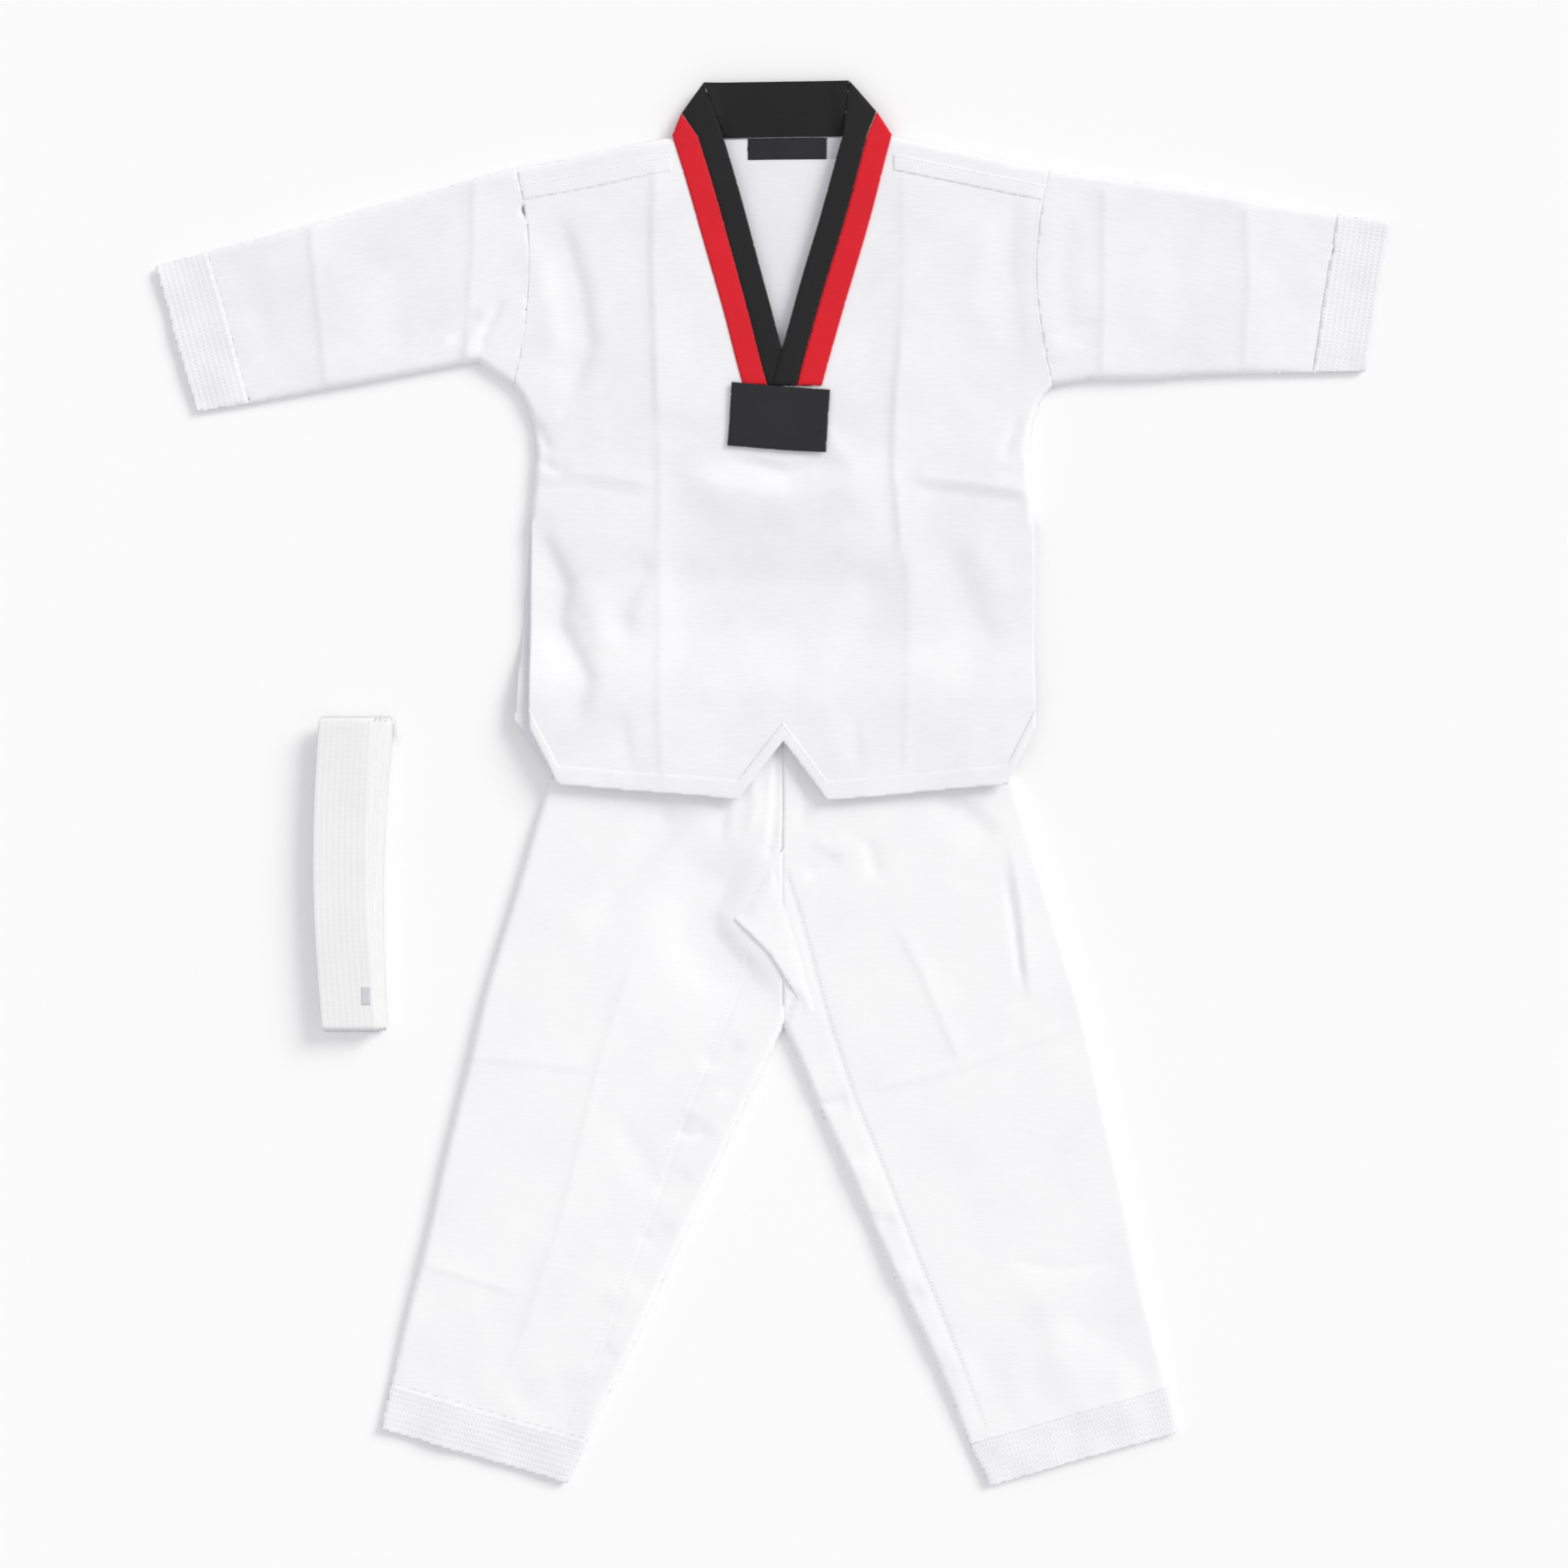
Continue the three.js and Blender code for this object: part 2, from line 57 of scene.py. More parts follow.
CLOTH = 0.8 * MM
BAND_CLOTH = 0.9 * MM
THIN_BAND = 0.6 * MM
FLOOR_REST = 0.15 * MM
BACK_TOP = 2.4 * MM
SEAM_LEVEL = 3.8 * MM
SEAM_ROUND = 6 * MM
SEAM_NEAR = 0.7 * MM
WELD = 0.45 * MM
MOUTH_REACH = 150 * MM

front_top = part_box("jacket_front_panel")[1][2]
waist_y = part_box("waistband_front")[1][1]
hem_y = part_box("jacket_front_tail")[0][1]
centre_x = (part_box("waistband_front")[0][0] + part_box("waistband_front")[1][0]) / 2
tail_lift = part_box("jacket_front_tail")[1][2] - front_top
ramp_top_y = waist_y + 42 * MM


# ---------------------------------------------------------------- materials

def srgb(code):
    """An sRGB hex colour as the linear colour that the shader takes."""
    channels = [int(code[i:i + 2], 16) / 255 for i in (1, 3, 5)]
    linear = [c / 12.92 if c <= 0.04045 else ((c + 0.055) / 1.055) ** 2.4 for c in channels]
    return (*linear, 1.0)


def add_node(tree, kind, inputs=None, output=0, **settings):
    """Adds a node. Each input takes a value or another node's socket; one output comes back."""
    made = tree.nodes.new(kind)
    for key, value in settings.items():
        setattr(made, key, value)
    for key, value in (inputs or {}).items():
        if isinstance(value, bpy.types.NodeSocket):
            tree.links.new(value, made.inputs[key])
        else:
            made.inputs[key].default_value = value
    return made.outputs[output]


def new_material(name, roughness, sheen=0.0):
    material = bpy.data.materials.new(name)
    material.use_nodes = True
    tree = material.node_tree
    shader = tree.nodes["Principled BSDF"]
    shader.inputs["Roughness"].default_value = roughness
    shader.inputs["Specular IOR Level"].default_value = 0.4
    shader.inputs["Sheen Weight"].default_value = sheen
    shader.inputs["Sheen Roughness"].default_value = 0.5
    return material, tree, shader


def finish_surface(tree, shader, share, tones, places, height, strength, depth):
    """Colours the piece between two tones of one dye, and raises its relief by `depth` mm."""
    colour = add_node(tree, "ShaderNodeValToRGB", {"Fac": share})
    for stop, place, code in zip(colour.node.color_ramp.elements, places, tones):
        stop.position = place
        stop.color = srgb(code)
    tree.links.new(colour, shader.inputs["Base Color"])
    normal = add_node(tree, "ShaderNodeBump", {"Strength": strength, "Distance": depth * MM,
                                               "Height": height})
    tree.links.new(normal, shader.inputs["Normal"])


# A wave texture of scale 1 repeats every 0.314 m of its coordinate.
WAVE_REPEAT = 2 * math.pi / 20
# Slubs about 14 mm long and 1.6 mm thick, coarser than real ones so that they show, per metre
SLUBS = (70, 620, 1)
# Cloudiness from washing, in patches of about 60 mm, per metre
CLOUDS = 16.0
# Fibres of about 0.5 mm, the coarsest that still look like spun thread, per metre
FIBRES = 1900.0
# Paper's slow unevenness, over about 0.7 m, per metre
PAPER_CLOUDS = 1.5


def woven_cloth(name, light, dark, roughness, sheen, rib=5.13, slub=0.5, depth=0.12, rows=None,
                rows_depth=1.5):
    """Plain-woven cloth on a UV map in metres, with optional rows of machine stitching.

    The eye gets fine ribs across the piece, uneven thicker yarns, and a soft bloom at the edges.
    Real threads are about 0.5 mm apart. The ribs are drawn `rib` mm apart so that they show.
    rows gives the row spacing and stitch length in millimetres, read from the piece's own
    "rows" and "along" attributes, the distances in metres in from the hem and along it.
    """
    material, tree, shader = new_material(name, roughness, sheen)
    math_node = "ShaderNodeMath"
    uv = add_node(tree, "ShaderNodeTexCoord", output="UV")
    ribs = add_node(tree, "ShaderNodeTexWave", {
        "Scale": WAVE_REPEAT / (rib * MM), "Distortion": 1.2, "Detail": 2.0, "Detail Scale": 3.0,
        "Vector": uv}, output="Fac", bands_direction="Y")
    across = add_node(tree, "ShaderNodeMapping", {"Scale": SLUBS, "Vector": uv})
    slubs = add_node(tree, "ShaderNodeTexNoise", {"Scale": 1.0, "Detail": 3.0, "Roughness": 0.6,
                                                  "Vector": across}, output="Fac")
    cloud = add_node(tree, "ShaderNodeTexNoise", {"Scale": CLOUDS, "Detail": 3.0, "Vector": uv},
                     output="Fac")
    share = add_node(tree, math_node, {0: cloud, 1: 0.55}, operation="MULTIPLY")
    share = add_node(tree, math_node, {0: slubs, 1: 0.45, 2: share}, operation="MULTIPLY_ADD")
    height = add_node(tree, math_node, {0: ribs, 1: 0.16}, operation="MULTIPLY")
    height = add_node(tree, math_node, {0: slubs, 1: slub, 2: height}, operation="MULTIPLY_ADD")
    if rows:
        spacing, stitch = rows
        hem, along = (add_node(tree, "ShaderNodeAttribute", output="Fac", attribute_name=label)
                      for label in ("rows", "along"))
        # A groove at each row, narrow because the wave is raised to a power
        groove = hem
        for operation, number in (("MULTIPLY", math.pi / (spacing * MM)), ("COSINE", 0.0),
                                  ("ABSOLUTE", 0.0), ("POWER", 6.0)):
            groove = add_node(tree, math_node, {0: groove, 1: number}, operation=operation)
        # Deeper where each stitch dips through the cloth
        pricks = along
        for operation, number, extra in (("MULTIPLY", 2 * math.pi / (stitch * MM), 0.0),
                                         ("COSINE", 0.0, 0.0), ("MULTIPLY_ADD", 0.55, 0.45)):
            pricks = add_node(tree, math_node, {0: pricks, 1: number, 2: extra},
                              operation=operation)
        sewn = add_node(tree, math_node, {0: groove, 1: pricks}, operation="MULTIPLY")
        height = add_node(tree, math_node, {0: sewn, 1: -rows_depth, 2: height},
                          operation="MULTIPLY_ADD")
    finish_surface(tree, shader, share, (dark, light), (0.3, 0.7), height, 1.0, depth)
    return material


# White poly-cotton, bleached and piece-woven: matt, faintly ribbed, cool in its shadows
white_cloth = woven_cloth("white_poly_cotton_weave", "#f7f7f7", "#ececf0", 0.88, 0.10)
# The trousers' cloth: the same weave, a little closer and whiter than the jacket's
trouser_cloth = woven_cloth("white_trouser_weave", "#fbfbfb", "#f3f3f5", 0.88, 0.10)
# The jacket cloth's inner face, seen down in the neck: painted shade, a little greyer than the
# outside, for the light it loses lying lower than the front
shade_greyed_back_cloth = woven_cloth("white_poly_cotton_painted_shade", "#f1f1f4", "#e7e7ec", 0.9, 0.08)
# The jacket's cloth turned and sewn in rows: small grooves that catch the light
stitched_hem = woven_cloth("row_stitched_white_hem", "#f7f7f8", "#ececf0", 0.86, 0.10,
                           depth=0.16, rows=(4.6, 3.0))
# Polished cotton facing, piece-dyed black: matt with a grey bloom where it turns
black_cloth = woven_cloth("black_dyed_cotton_facing", "#161617", "#0d0d0e", 0.82, 0.10,
                          rib=4.34, depth=0.10)
# The same facing dyed red: slightly uneven dye between the yarns
red_cloth = woven_cloth("red_dyed_cotton_facing", "#e21226", "#d00e20", 0.80, 0.03,
                        rib=4.34, depth=0.10)
# Damask-woven polyester badge: flat, tighter than the cloth, a little satin
badge_cloth = woven_cloth("black_damask_woven_badge", "#1b1b1e", "#131316", 0.58, 0.05,
                          rib=3.55, slub=0.2, depth=0.07)
# Satin-woven label: smoother than the badge, with long floats across it
label_satin = woven_cloth("black_satin_woven_label", "#201d27", "#131218", 0.6, 0.0,
                          rib=3.16, slub=0.15, depth=0.05)
# Printed nylon ribbon, calendered smooth
tag_ribbon = woven_cloth("white_nylon_ribbon_tag", "#d9d9de", "#c6c6cd", 0.55, 0.0,
                         rib=3.16, slub=0.15, depth=0.05)
# Knitted elastic: raised ribs of covered rubber
ribbed_elastic = woven_cloth("white_knitted_elastic", "#e9e9e5", "#d9d9d6", 0.7, 0.0,
                             rib=5.92, slub=0.1, depth=0.3)
# Cotton belt: stiff core in a plain weave, quilted by long rows of stitching
belt_cloth = woven_cloth("row_stitched_cotton_belt", "#f4f4f4", "#ebebec", 0.84, 0.08,
                         rib=4.34, depth=0.16, rows=(4.9, 3.2), rows_depth=0.4)


def thread_material(name, light, dark, roughness):
    """Spun polyester thread, twisted: round strands with a small dull highlight."""
    material, tree, shader = new_material(name, roughness, 0.1)
    place = add_node(tree, "ShaderNodeTexCoord", output="Object")
    fibres = add_node(tree, "ShaderNodeTexNoise", {"Scale": FIBRES, "Detail": 2.0,
                                                   "Vector": place}, output="Fac")
    finish_surface(tree, shader, fibres, (dark, light), (0.0, 1.0), fibres, 0.6, 0.08)
    return material


white_thread = thread_material("white_spun_thread", "#ffffff", "#e9e9ee", 0.7)
black_thread = thread_material("black_spun_thread", "#2c2c31", "#17171b", 0.6)
red_thread = thread_material("red_spun_thread", "#ea2a3c", "#cc1024", 0.65)


# ---------------------------------------------------------------- how the cloth lies

def smooth(value):
    value = np.clip(value, 0.0, 1.0)
    return value * value * (3 - 2 * value)


def along_path(points, path):
    """Each point's signed distance from a path (left is positive) and its share along it."""
    path = np.array(path) * MM
    steps = np.diff(path, axis=0)
    lengths = np.hypot(steps[:, 0], steps[:, 1])
    starts = np.concatenate([[0.0], np.cumsum(lengths)])[:-1]
    best = np.full(len(points), 1e9)
    signed = np.zeros(len(points))
    share = np.zeros(len(points))
    for start, step, length, run in zip(path[:-1], steps, lengths, starts):
        offset = points - start
        t = np.clip(offset @ step / length ** 2, 0, 1)
        gap = offset - t[:, None] * step
        distance = np.hypot(gap[:, 0], gap[:, 1])
        side = np.sign(step[0] * offset[:, 1] - step[1] * offset[:, 0])
        nearer = distance < best
        best = np.where(nearer, distance, best)
        signed = np.where(nearer, distance * side, signed)
        share = np.where(nearer, (run + t * length) / lengths.sum(), share)
    return signed, share


def fold(points, path, rise, first, second, taper=0.2, sharp=2):
    """A ridge (or, with a negative rise, a trough) along a path.

    It spreads `first` mm to the path's left and `second` to its right, or the other way round
    where the path runs mostly downwards. A sharp of 2 is a soft round fold, 1 a pressed crease.
    """
    signed, share = along_path(points, path)
    (x0, y0), (x1, y1) = path[0], path[-1]
    if y0 - y1 > abs(x1 - x0):
        signed = -signed
    width = np.where(signed > 0, first, second) * MM
    ends = smooth(share / taper) * smooth((1 - share) / taper)
    ends = np.where((share <= 0) | (share >= 1), 0.0, ends)
    return rise * MM * np.exp(-(np.abs(signed) / width) ** sharp) * ends


def unrest(points, size, strength, seed):
    """Slow uneven rise and fall of cloth that was smoothed out by hand."""
    scale = 1 / (size * MM)
    return strength * MM * np.array([
        noise.noise(Vector((x * scale + seed, y * scale - seed, seed * 1.7))) for x, y in points])


# Jacket: folds from storage, the soft swag below the badge, and drag lines from the armholes.
# Each is a path in millimetres and the rest of what `fold` takes, from the rise on.
JACKET_FOLDS = [
    ([(-95, 505), (-96, 420), (-94, 340), (-92, 280)], 2.1, 3, 26, 0.12, 1),
    ([(-93, 300), (-91, 230), (-92, 120), (-88, -8)], 1.1, 3, 16, 0.1, 1),
    ([(104, 500), (105, 420), (101, 340)], 0.8, 3, 14, 0.2, 1),
    ([(103, 380), (98, 300), (96, 250), (104, 170)], 2.3, 3, 20, 0.2, 1),
    ([(107, 200), (108, 100), (106, -6)], 0.7, 2, 12, 0.15, 1),
    ([(-84, 250), (-40, 236), (14, 228), (60, 240), (97, 266)], 4.6, 12, 24, 0.25),
    ([(-112, 158), (-60, 157), (0, 156), (60, 158), (116, 160)], -5.6, 25, 60, 0.2),
    ([(-44, 262), (10, 250), (66, 262)], -2.2, 6, 6, 0.3),
    ([(-196, 247), (-150, 249), (-91, 239)], 1.2, 12, 2.5, 0.2, 1),
    ([(-210, 239), (-150, 240), (-100, 231)], -0.8, 3, 12, 0.2, 1),
    ([(108, 245), (160, 241), (212, 234)], 1.8, 12, 2.5, 0.15, 1),
    ([(112, 236), (160, 233), (209, 226)], -1.2, 3, 14, 0.15, 1),
    ([(-178, 470), (-155, 396), (-149, 352), (-170, 296)], -3.4, 24, 9, 0.25),
    ([(-196, 440), (-178, 380), (-172, 330)], 1.0, 10, 10, 0.3),
    ([(-182, 226), (-186, 196), (-168, 160), (-172, 130), (-150, 84), (-163, 34)],
     -4.8, 20, 9, 0.3),
    ([(-150, 168), (-140, 132), (-128, 96)], 2.2, 12, 16, 0.3),
    ([(-111, 196), (-105, 172), (-119, 140), (-123, 108)], -2.4, 16, 8, 0.3),
    ([(133, 200), (157, 144), (181, 100)], -1.9, 26, 12, 0.3),
    ([(150, 214), (172, 176), (190, 140)], 0.9, 12, 12, 0.3),
    ([(193, 488), (190, 420), (198, 330)], -1.2, 18, 8, 0.25),
    ([(172, 470), (166, 400), (176, 340)], 0.8, 13, 12, 0.3),
    ([(-196, 300), (-184, 278), (-176, 262)], -1.8, 5, 5, 0.35),
    ([(-192, 284), (-178, 292), (-166, 300)], 1.1, 4, 4, 0.35),
    ([(-190, 262), (-172, 250), (-158, 256)], -1.5, 5, 4, 0.35),
    ([(200, 300), (190, 278), (184, 256)], -1.6, 5, 6, 0.35),
    ([(206, 262), (196, 250), (180, 246)], -1.3, 4, 5, 0.35),
    ([(68, 62), (66, 40), (70, 10)], -0.9, 10, 5, 0.35),
    ([(-120, 60), (-118, 36), (-112, 4)], -1.0, 10, 5, 0.35),
    ([(30, 300), (52, 270), (70, 240)], 0.9, 9, 8, 0.35),
    ([(-60, 110), (-64, 60), (-58, 20)], 0.5, 14, 18, 0.3),
    ([(36, 130), (42, 84), (38, 40)], 0.5, 16, 18, 0.3),
]
SLEEVE_FOLDS = [
    ([(-374, 470), (-366, 400), (-358, 318)], 1.6, 3, 16, 0.05, 1),
    ([(-238, 492), (-240, 420), (-246, 335)], 1.3, 3, 13, 0.05, 1),
    ([(-262, 352), (-246, 366), (-232, 382)], -1.8, 5, 5, 0.3),
    ([(-238, 342), (-228, 368), (-214, 392)], -1.9, 4, 4, 0.3),
    ([(-252, 338), (-240, 356), (-222, 366)], 1.3, 4, 4, 0.3),
    ([(-312, 440), (-300, 390), (-306, 340)], -0.9, 14, 16, 0.3),
    ([(-430, 436), (-420, 380), (-414, 330)], -0.8, 12, 14, 0.3),
    ([(-350, 430), (-344, 390), (-350, 350)], 0.7, 10, 18, 0.3),
    ([(265, 482), (266, 410), (262, 328)], 1.3, 3, 14, 0.05, 1),
    ([(379, 466), (382, 400), (378, 330)], 1.5, 3, 16, 0.05, 1),
    ([(236, 470), (232, 410), (240, 340)], -0.9, 10, 10, 0.3),
    ([(320, 460), (326, 400), (318, 345)], -0.8, 14, 16, 0.3),
    ([(222, 352), (240, 366), (262, 372)], -1.1, 4, 5, 0.3),
    ([(216, 340), (230, 346), (250, 352)], 0.9, 4, 4, 0.3),
]
LEG_FOLDS = [
    ([(-107, -129), (-138, -214), (-173, -359), (-223, -505)], 0.9, 2.5, 13, 0.1, 1),
    ([(-56, -6), (-73, -19), (-112, -66), (-158, -119)], -2.2, 26, 12, 0.3),
    ([(-96, -30), (-138, -78), (-176, -140)], 1.0, 14, 16, 0.3),
    ([(-262, -216), (-200, -222), (-138, -229)], 0.7, 9, 2, 0.2, 1),
    ([(-290, -382), (-240, -397), (-198, -409)], 0.9, 9, 2, 0.2, 1),
    ([(-92, -330), (-106, -300), (-128, -262)], -1.1, 12, 12, 0.3),
    ([(93, -104), (117, -149), (153, -229)], 1.0, 2.5, 10, 0.2, 1),
    ([(77, -246), (153, -226), (242, -194)], 0.9, 9, 2, 0.12, 1),
    ([(132, -2), (142, -9), (160, -28), (180, -48)], -2.2, 9, 18, 0.25),
    ([(187, -36), (198, -100), (207, -182)], 1.7, 2, 14, 0.3, 1),
    ([(184, -60), (192, -104), (203, -174)], -1.2, 3, 2.5, 0.3),
    ([(22, -74), (40, -66), (57, -54)], -1.5, 5, 6, 0.3),
    ([(70, -38), (77, -50), (86, -80)], -1.4, 6, 7, 0.35),
    ([(30, -40), (48, -52), (60, -36)], 1.0, 6, 6, 0.35),
    ([(188, -382), (233, -389), (290, -379)], -1.0, 4, 5, 0.25, 1),
    ([(225, -418), (196, -446), (157, -488)], -1.9, 26, 10, 0.3),
    ([(225, -418), (262, -442), (313, -478)], -1.7, 24, 12, 0.3),
    ([(226, -424), (230, -460), (236, -500)], 1.4, 12, 14, 0.3),
    ([(-34, 20), (-36, -10), (-44, -52)], -1.6, 10, 4, 0.3),
    ([(-18, 24), (-14, -14), (-20, -50)], 1.3, 5, 6, 0.3),
    ([(-80, 10), (-86, -16), (-92, -40)], -1.0, 6, 7, 0.3),
    ([(22, 20), (26, -12), (20, -40)], -1.1, 5, 6, 0.3),
    ([(5, 36), (1.4, -4), (0.4, -40), (-4.6, -60)], -1.7, 1.8, 1.8, 0.06, 1),
    ([(-2, 20), (-3, -20), (-10, -50)], 0.9, 5, 4, 0.25),
    ([(-60, -470), (-100, -500), (-120, -520)], 0.6, 8, 8, 0.3),
]
# The seams of the inner gussets: a narrow groove, drawn tight by its topstitching
GUSSET_SEAMS = {
    "right": [(-18.6, -129), (-27, -164), (-65, -254), (-103, -359), (-160, -515)],
    "left": [(9, -66), (21, -104), (31, -142), (45, -192), (65, -249), (107, -354), (170, -516)],
}
SEAM_GROOVES = [(path, -0.9, 1.6, 1.6, 0.03, 1) for path in GUSSET_SEAMS.values()]
# Puckers across the inner gussets, where the seam draws the cloth up
GUSSET_PUCKERS = [
    ([(-22, -206), (-44, -222), (-62, -226)], -1.6, 5, 9, 0.3),
    ([(-36, -244), (-58, -262), (-74, -262)], 1.2, 7, 5, 0.3),
    ([(-46, -278), (-68, -281), (-80, -276)], -1.7, 3, 8, 0.3, 1),
    ([(-66, -308), (-88, -324), (-96, -318)], -1.1, 8, 9, 0.3),
    ([(-78, -352), (-98, -366), (-112, -360)], -1.6, 4, 9, 0.3, 1),
    ([(-106, -398), (-124, -410), (-136, -404)], 1.0, 9, 8, 0.3),
    ([(-124, -452), (-142, -462), (-150, -456)], -1.1, 6, 9, 0.3),
    ([(30, -252), (45, -256), (64, -250)], -2.2, 4, 5, 0.3, 1),
    ([(56, -300), (70, -312), (84, -308)], 0.9, 8, 8, 0.3),
    ([(72, -340), (86, -352), (100, -346)], -1.3, 5, 7, 0.3),
    ([(88, -382), (102, -394), (116, -388)], 1.0, 7, 7, 0.3),
    ([(96, -402), (108, -410), (122, -404)], -1.7, 4, 6, 0.3, 1),
    ([(124, -462), (138, -474), (148, -466)], -1.0, 7, 7, 0.3),
]
# The crotch: gusset cloth on the wearer's left folds over a hollow on the right.
# The fold's edge runs up from the crotch, round its peak and into the centre seam.
CROTCH_LAP = [(8.4, -192), (18.4, -170), (-4.6, -134), (-30, -108), (-18, -80), (-4.6, -58)]
CROTCH_HOLLOW = [(-20, -44), (-38, -76), (-54, -100), (-52, -122), (-34, -144), (-11, -166),
                 (8, -188)]
CROTCH_SLIT = [(19, -170), (12, -181), (8, -192)]
CROTCH_FLAP = [(-2, -52), (-10, -66), (-18, -80), (-27, -98), (-30, -108), (-17, -121),
               (-4.6, -134), (2, -144), (10, -157), (18.4, -170), (13, -183), (12, -193),
               (45, -192), (31, -142), (21, -104), (9, -66)]


def relief(points, folds):
    total = np.zeros(len(points))
    for path, *shape in folds:
        total += fold(points, path, *shape)
    return total


def drift(points):
    """A wander in plan of about a millimetre, the same for every layer that is sewn together."""
    east = unrest(points, 75, 1.6, 3.1)
    north = unrest(points, 75, 1.6, 8.4)
    return np.stack([east, north], axis=1)


def over_waist(points, lift):
    """How much the jacket rises to lie over the trousers' waist."""
    return lift * smooth((ramp_top_y + 10 * MM - points[:, 1]) / (ramp_top_y + 20 * MM - waist_y))


def held_up(height):
    """The front layer rests on the back one at its lowest, and never goes through it."""
    slack = 0.5 * MM
    return BACK_TOP + slack * np.logaddexp(0, (height - BACK_TOP) / slack)


def jacket_front_height(points):
    height = np.full(len(points), front_top - 1.0 * MM)
    height += relief(points, JACKET_FOLDS + SLEEVE_FOLDS)
    height += unrest(points, 70, 0.9, 1.3) + unrest(points, 22, 0.25, 5.2)
    return held_up(height) + over_waist(points, tail_lift - 1.5 * MM)


def jacket_back_height(points):
    height = np.full(len(points), FLOOR_REST)
    height += np.abs(unrest(points, 60, 0.7, 6.6))
    return height + over_waist(points, tail_lift + 0.3 * MM)


def leg_front_height(points):
    height = np.full(len(points), front_top - 1.2 * MM)
    height += relief(points, LEG_FOLDS + GUSSET_PUCKERS + SEAM_GROOVES)
    height += fold(points, CROTCH_HOLLOW, -6.4, 36, 15, 0.3)
    height += fold(points, CROTCH_SLIT, -2.4, 1.6, 1.6, 0.25, 1)
    height += unrest(points, 80, 0.9, 2.3) + unrest(points, 24, 0.2, 7.2)
    height = held_up(height)
    under_jacket = smooth((points[:, 1] - hem_y - 4 * MM) / (26 * MM))
    return np.minimum(height, front_top - under_jacket * 0.6 * MM + 40 * MM * (1 - under_jacket))


def leg_back_height(points):
    return np.full(len(points), FLOOR_REST) + np.abs(unrest(points, 60, 0.7, 9.6))


# ---------------------------------------------------------------- cloth sheets

def add_into(whole, part):
    holder = bpy.data.meshes.new("holder")
    part.to_mesh(holder)
    whole.from_mesh(holder)
    bpy.data.meshes.remove(holder)
    part.free()


def plan_of(nodes, facing, low=-1.0, high=1.0, grid=GRID):
    """The upward (1) or downward (-1) faces of the named solids, flat, cut into a fine grid."""
    sheet = bmesh.new()
    for name in nodes:
        part = bmesh.new()
        part.from_mesh(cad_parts[name].data)
        bmesh.ops.remove_doubles(part, verts=part.verts, dist=1e-6)
        part.normal_update()
        wrong = [face for face in part.faces if face.normal.z * facing < 0.5
                 or not low <= face.calc_center_median().z <= high]
        bmesh.ops.delete(part, geom=wrong, context="FACES")
        for vert in part.verts:
            vert.co.z = 0.0
        bmesh.ops.triangulate(part, faces=part.faces[:])
        add_into(sheet, part)
    bmesh.ops.remove_doubles(sheet, verts=sheet.verts, dist=WELD)
    return gridded(sheet, facing, grid)


def plan_from(outline, grid):
    """A flat panel from its corners in millimetres, cut into a fine grid."""
    sheet = bmesh.new()
    corners = [sheet.verts.new((x * MM, y * MM, 0)) for x, y in outline]
    sheet.faces.new(corners)
    sheet.normal_update()
    bmesh.ops.triangulate(sheet, faces=sheet.faces[:], ngon_method="EAR_CLIP")
    sheet.normal_update()
    return gridded(sheet, 1, grid)


# Welding a grid can leave holes. They are filled up to BIG_HOLE edges on a sheet whose rim has
# over BIG_RIM edges, and up to SMALL_HOLE on a smaller one.
BIG_RIM = 200
BIG_HOLE = 40
SMALL_HOLE = 4


def gridded(sheet, facing, grid):
    """Cuts flat faces along every line of a square grid, and turns them to face one way."""
    for axis in (0, 1):
        places = [vert.co[axis] for vert in sheet.verts]
        normal = Vector((1 - axis, axis, 0))
        ahead = list(sheet.faces)
        for step in range(math.ceil(min(places) / grid), math.floor(max(places) / grid) + 1):
            point = normal * (step * grid)
            edges = {edge for face in ahead for edge in face.edges}
            verts = {vert for face in ahead for vert in face.verts}
            cut = bmesh.ops.bisect_plane(sheet, geom=[*verts, *edges, *ahead], plane_co=point,
                                         plane_no=normal, dist=1e-7)
            ahead = [item for item in cut["geom"] if isinstance(item, bmesh.types.BMFace)
                     and item.calc_center_median()[axis] > step * grid]
    bmesh.ops.remove_doubles(sheet, verts=sheet.verts, dist=WELD)
    rim = [edge for edge in sheet.edges if edge.is_boundary]
    bmesh.ops.holes_fill(sheet, edges=rim,
                         sides=BIG_HOLE if len(rim) > BIG_RIM else SMALL_HOLE)
    sheet.normal_update()
    upside = [face for face in sheet.faces if face.normal.z * facing < 0]
    bmesh.ops.reverse_faces(sheet, faces=upside)
    flatten_slivers(sheet)
    sheet.verts.index_update()
    return sheet


def flatten_slivers(sheet):
    """Takes out the slivers that a weld leaves folded over their neighbours."""
    bmesh.ops.dissolve_degenerate(sheet, dist=0.05 * MM, edges=sheet.edges[:])
    for _ in range(2):
        folded = {min(edge.link_faces, key=lambda face: face.calc_area()) for edge in sheet.edges
                  if len(edge.link_faces) > 2
                  or len(edge.link_faces) == 2 and not edge.is_contiguous}
        short = {min(face.edges, key=lambda edge: edge.calc_length()) for face in folded}
        bmesh.ops.collapse(sheet, edges=[edge for edge in short if edge.calc_length() < MM])
    bare = [edge for edge in sheet.edges if not edge.link_faces]
    bmesh.ops.delete(sheet, geom=bare, context="EDGES")


def places_of(sheet):
    return np.array([(vert.co.x, vert.co.y) for vert in sheet.verts])


def edge_lines(nodes):
    """The plan of every edge of the named solids, as an array of (ax, ay, bx, by)."""
    lines = set()
    for name in nodes:
        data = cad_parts[name].data
        for edge in data.edges:
            a, b = (data.vertices[i].co for i in edge.vertices)
            if (a.xy - b.xy).length > 1e-6:
                lines.add(tuple(round(value, 6) for value in (*a.xy, *b.xy)))
    return np.array(sorted(lines))


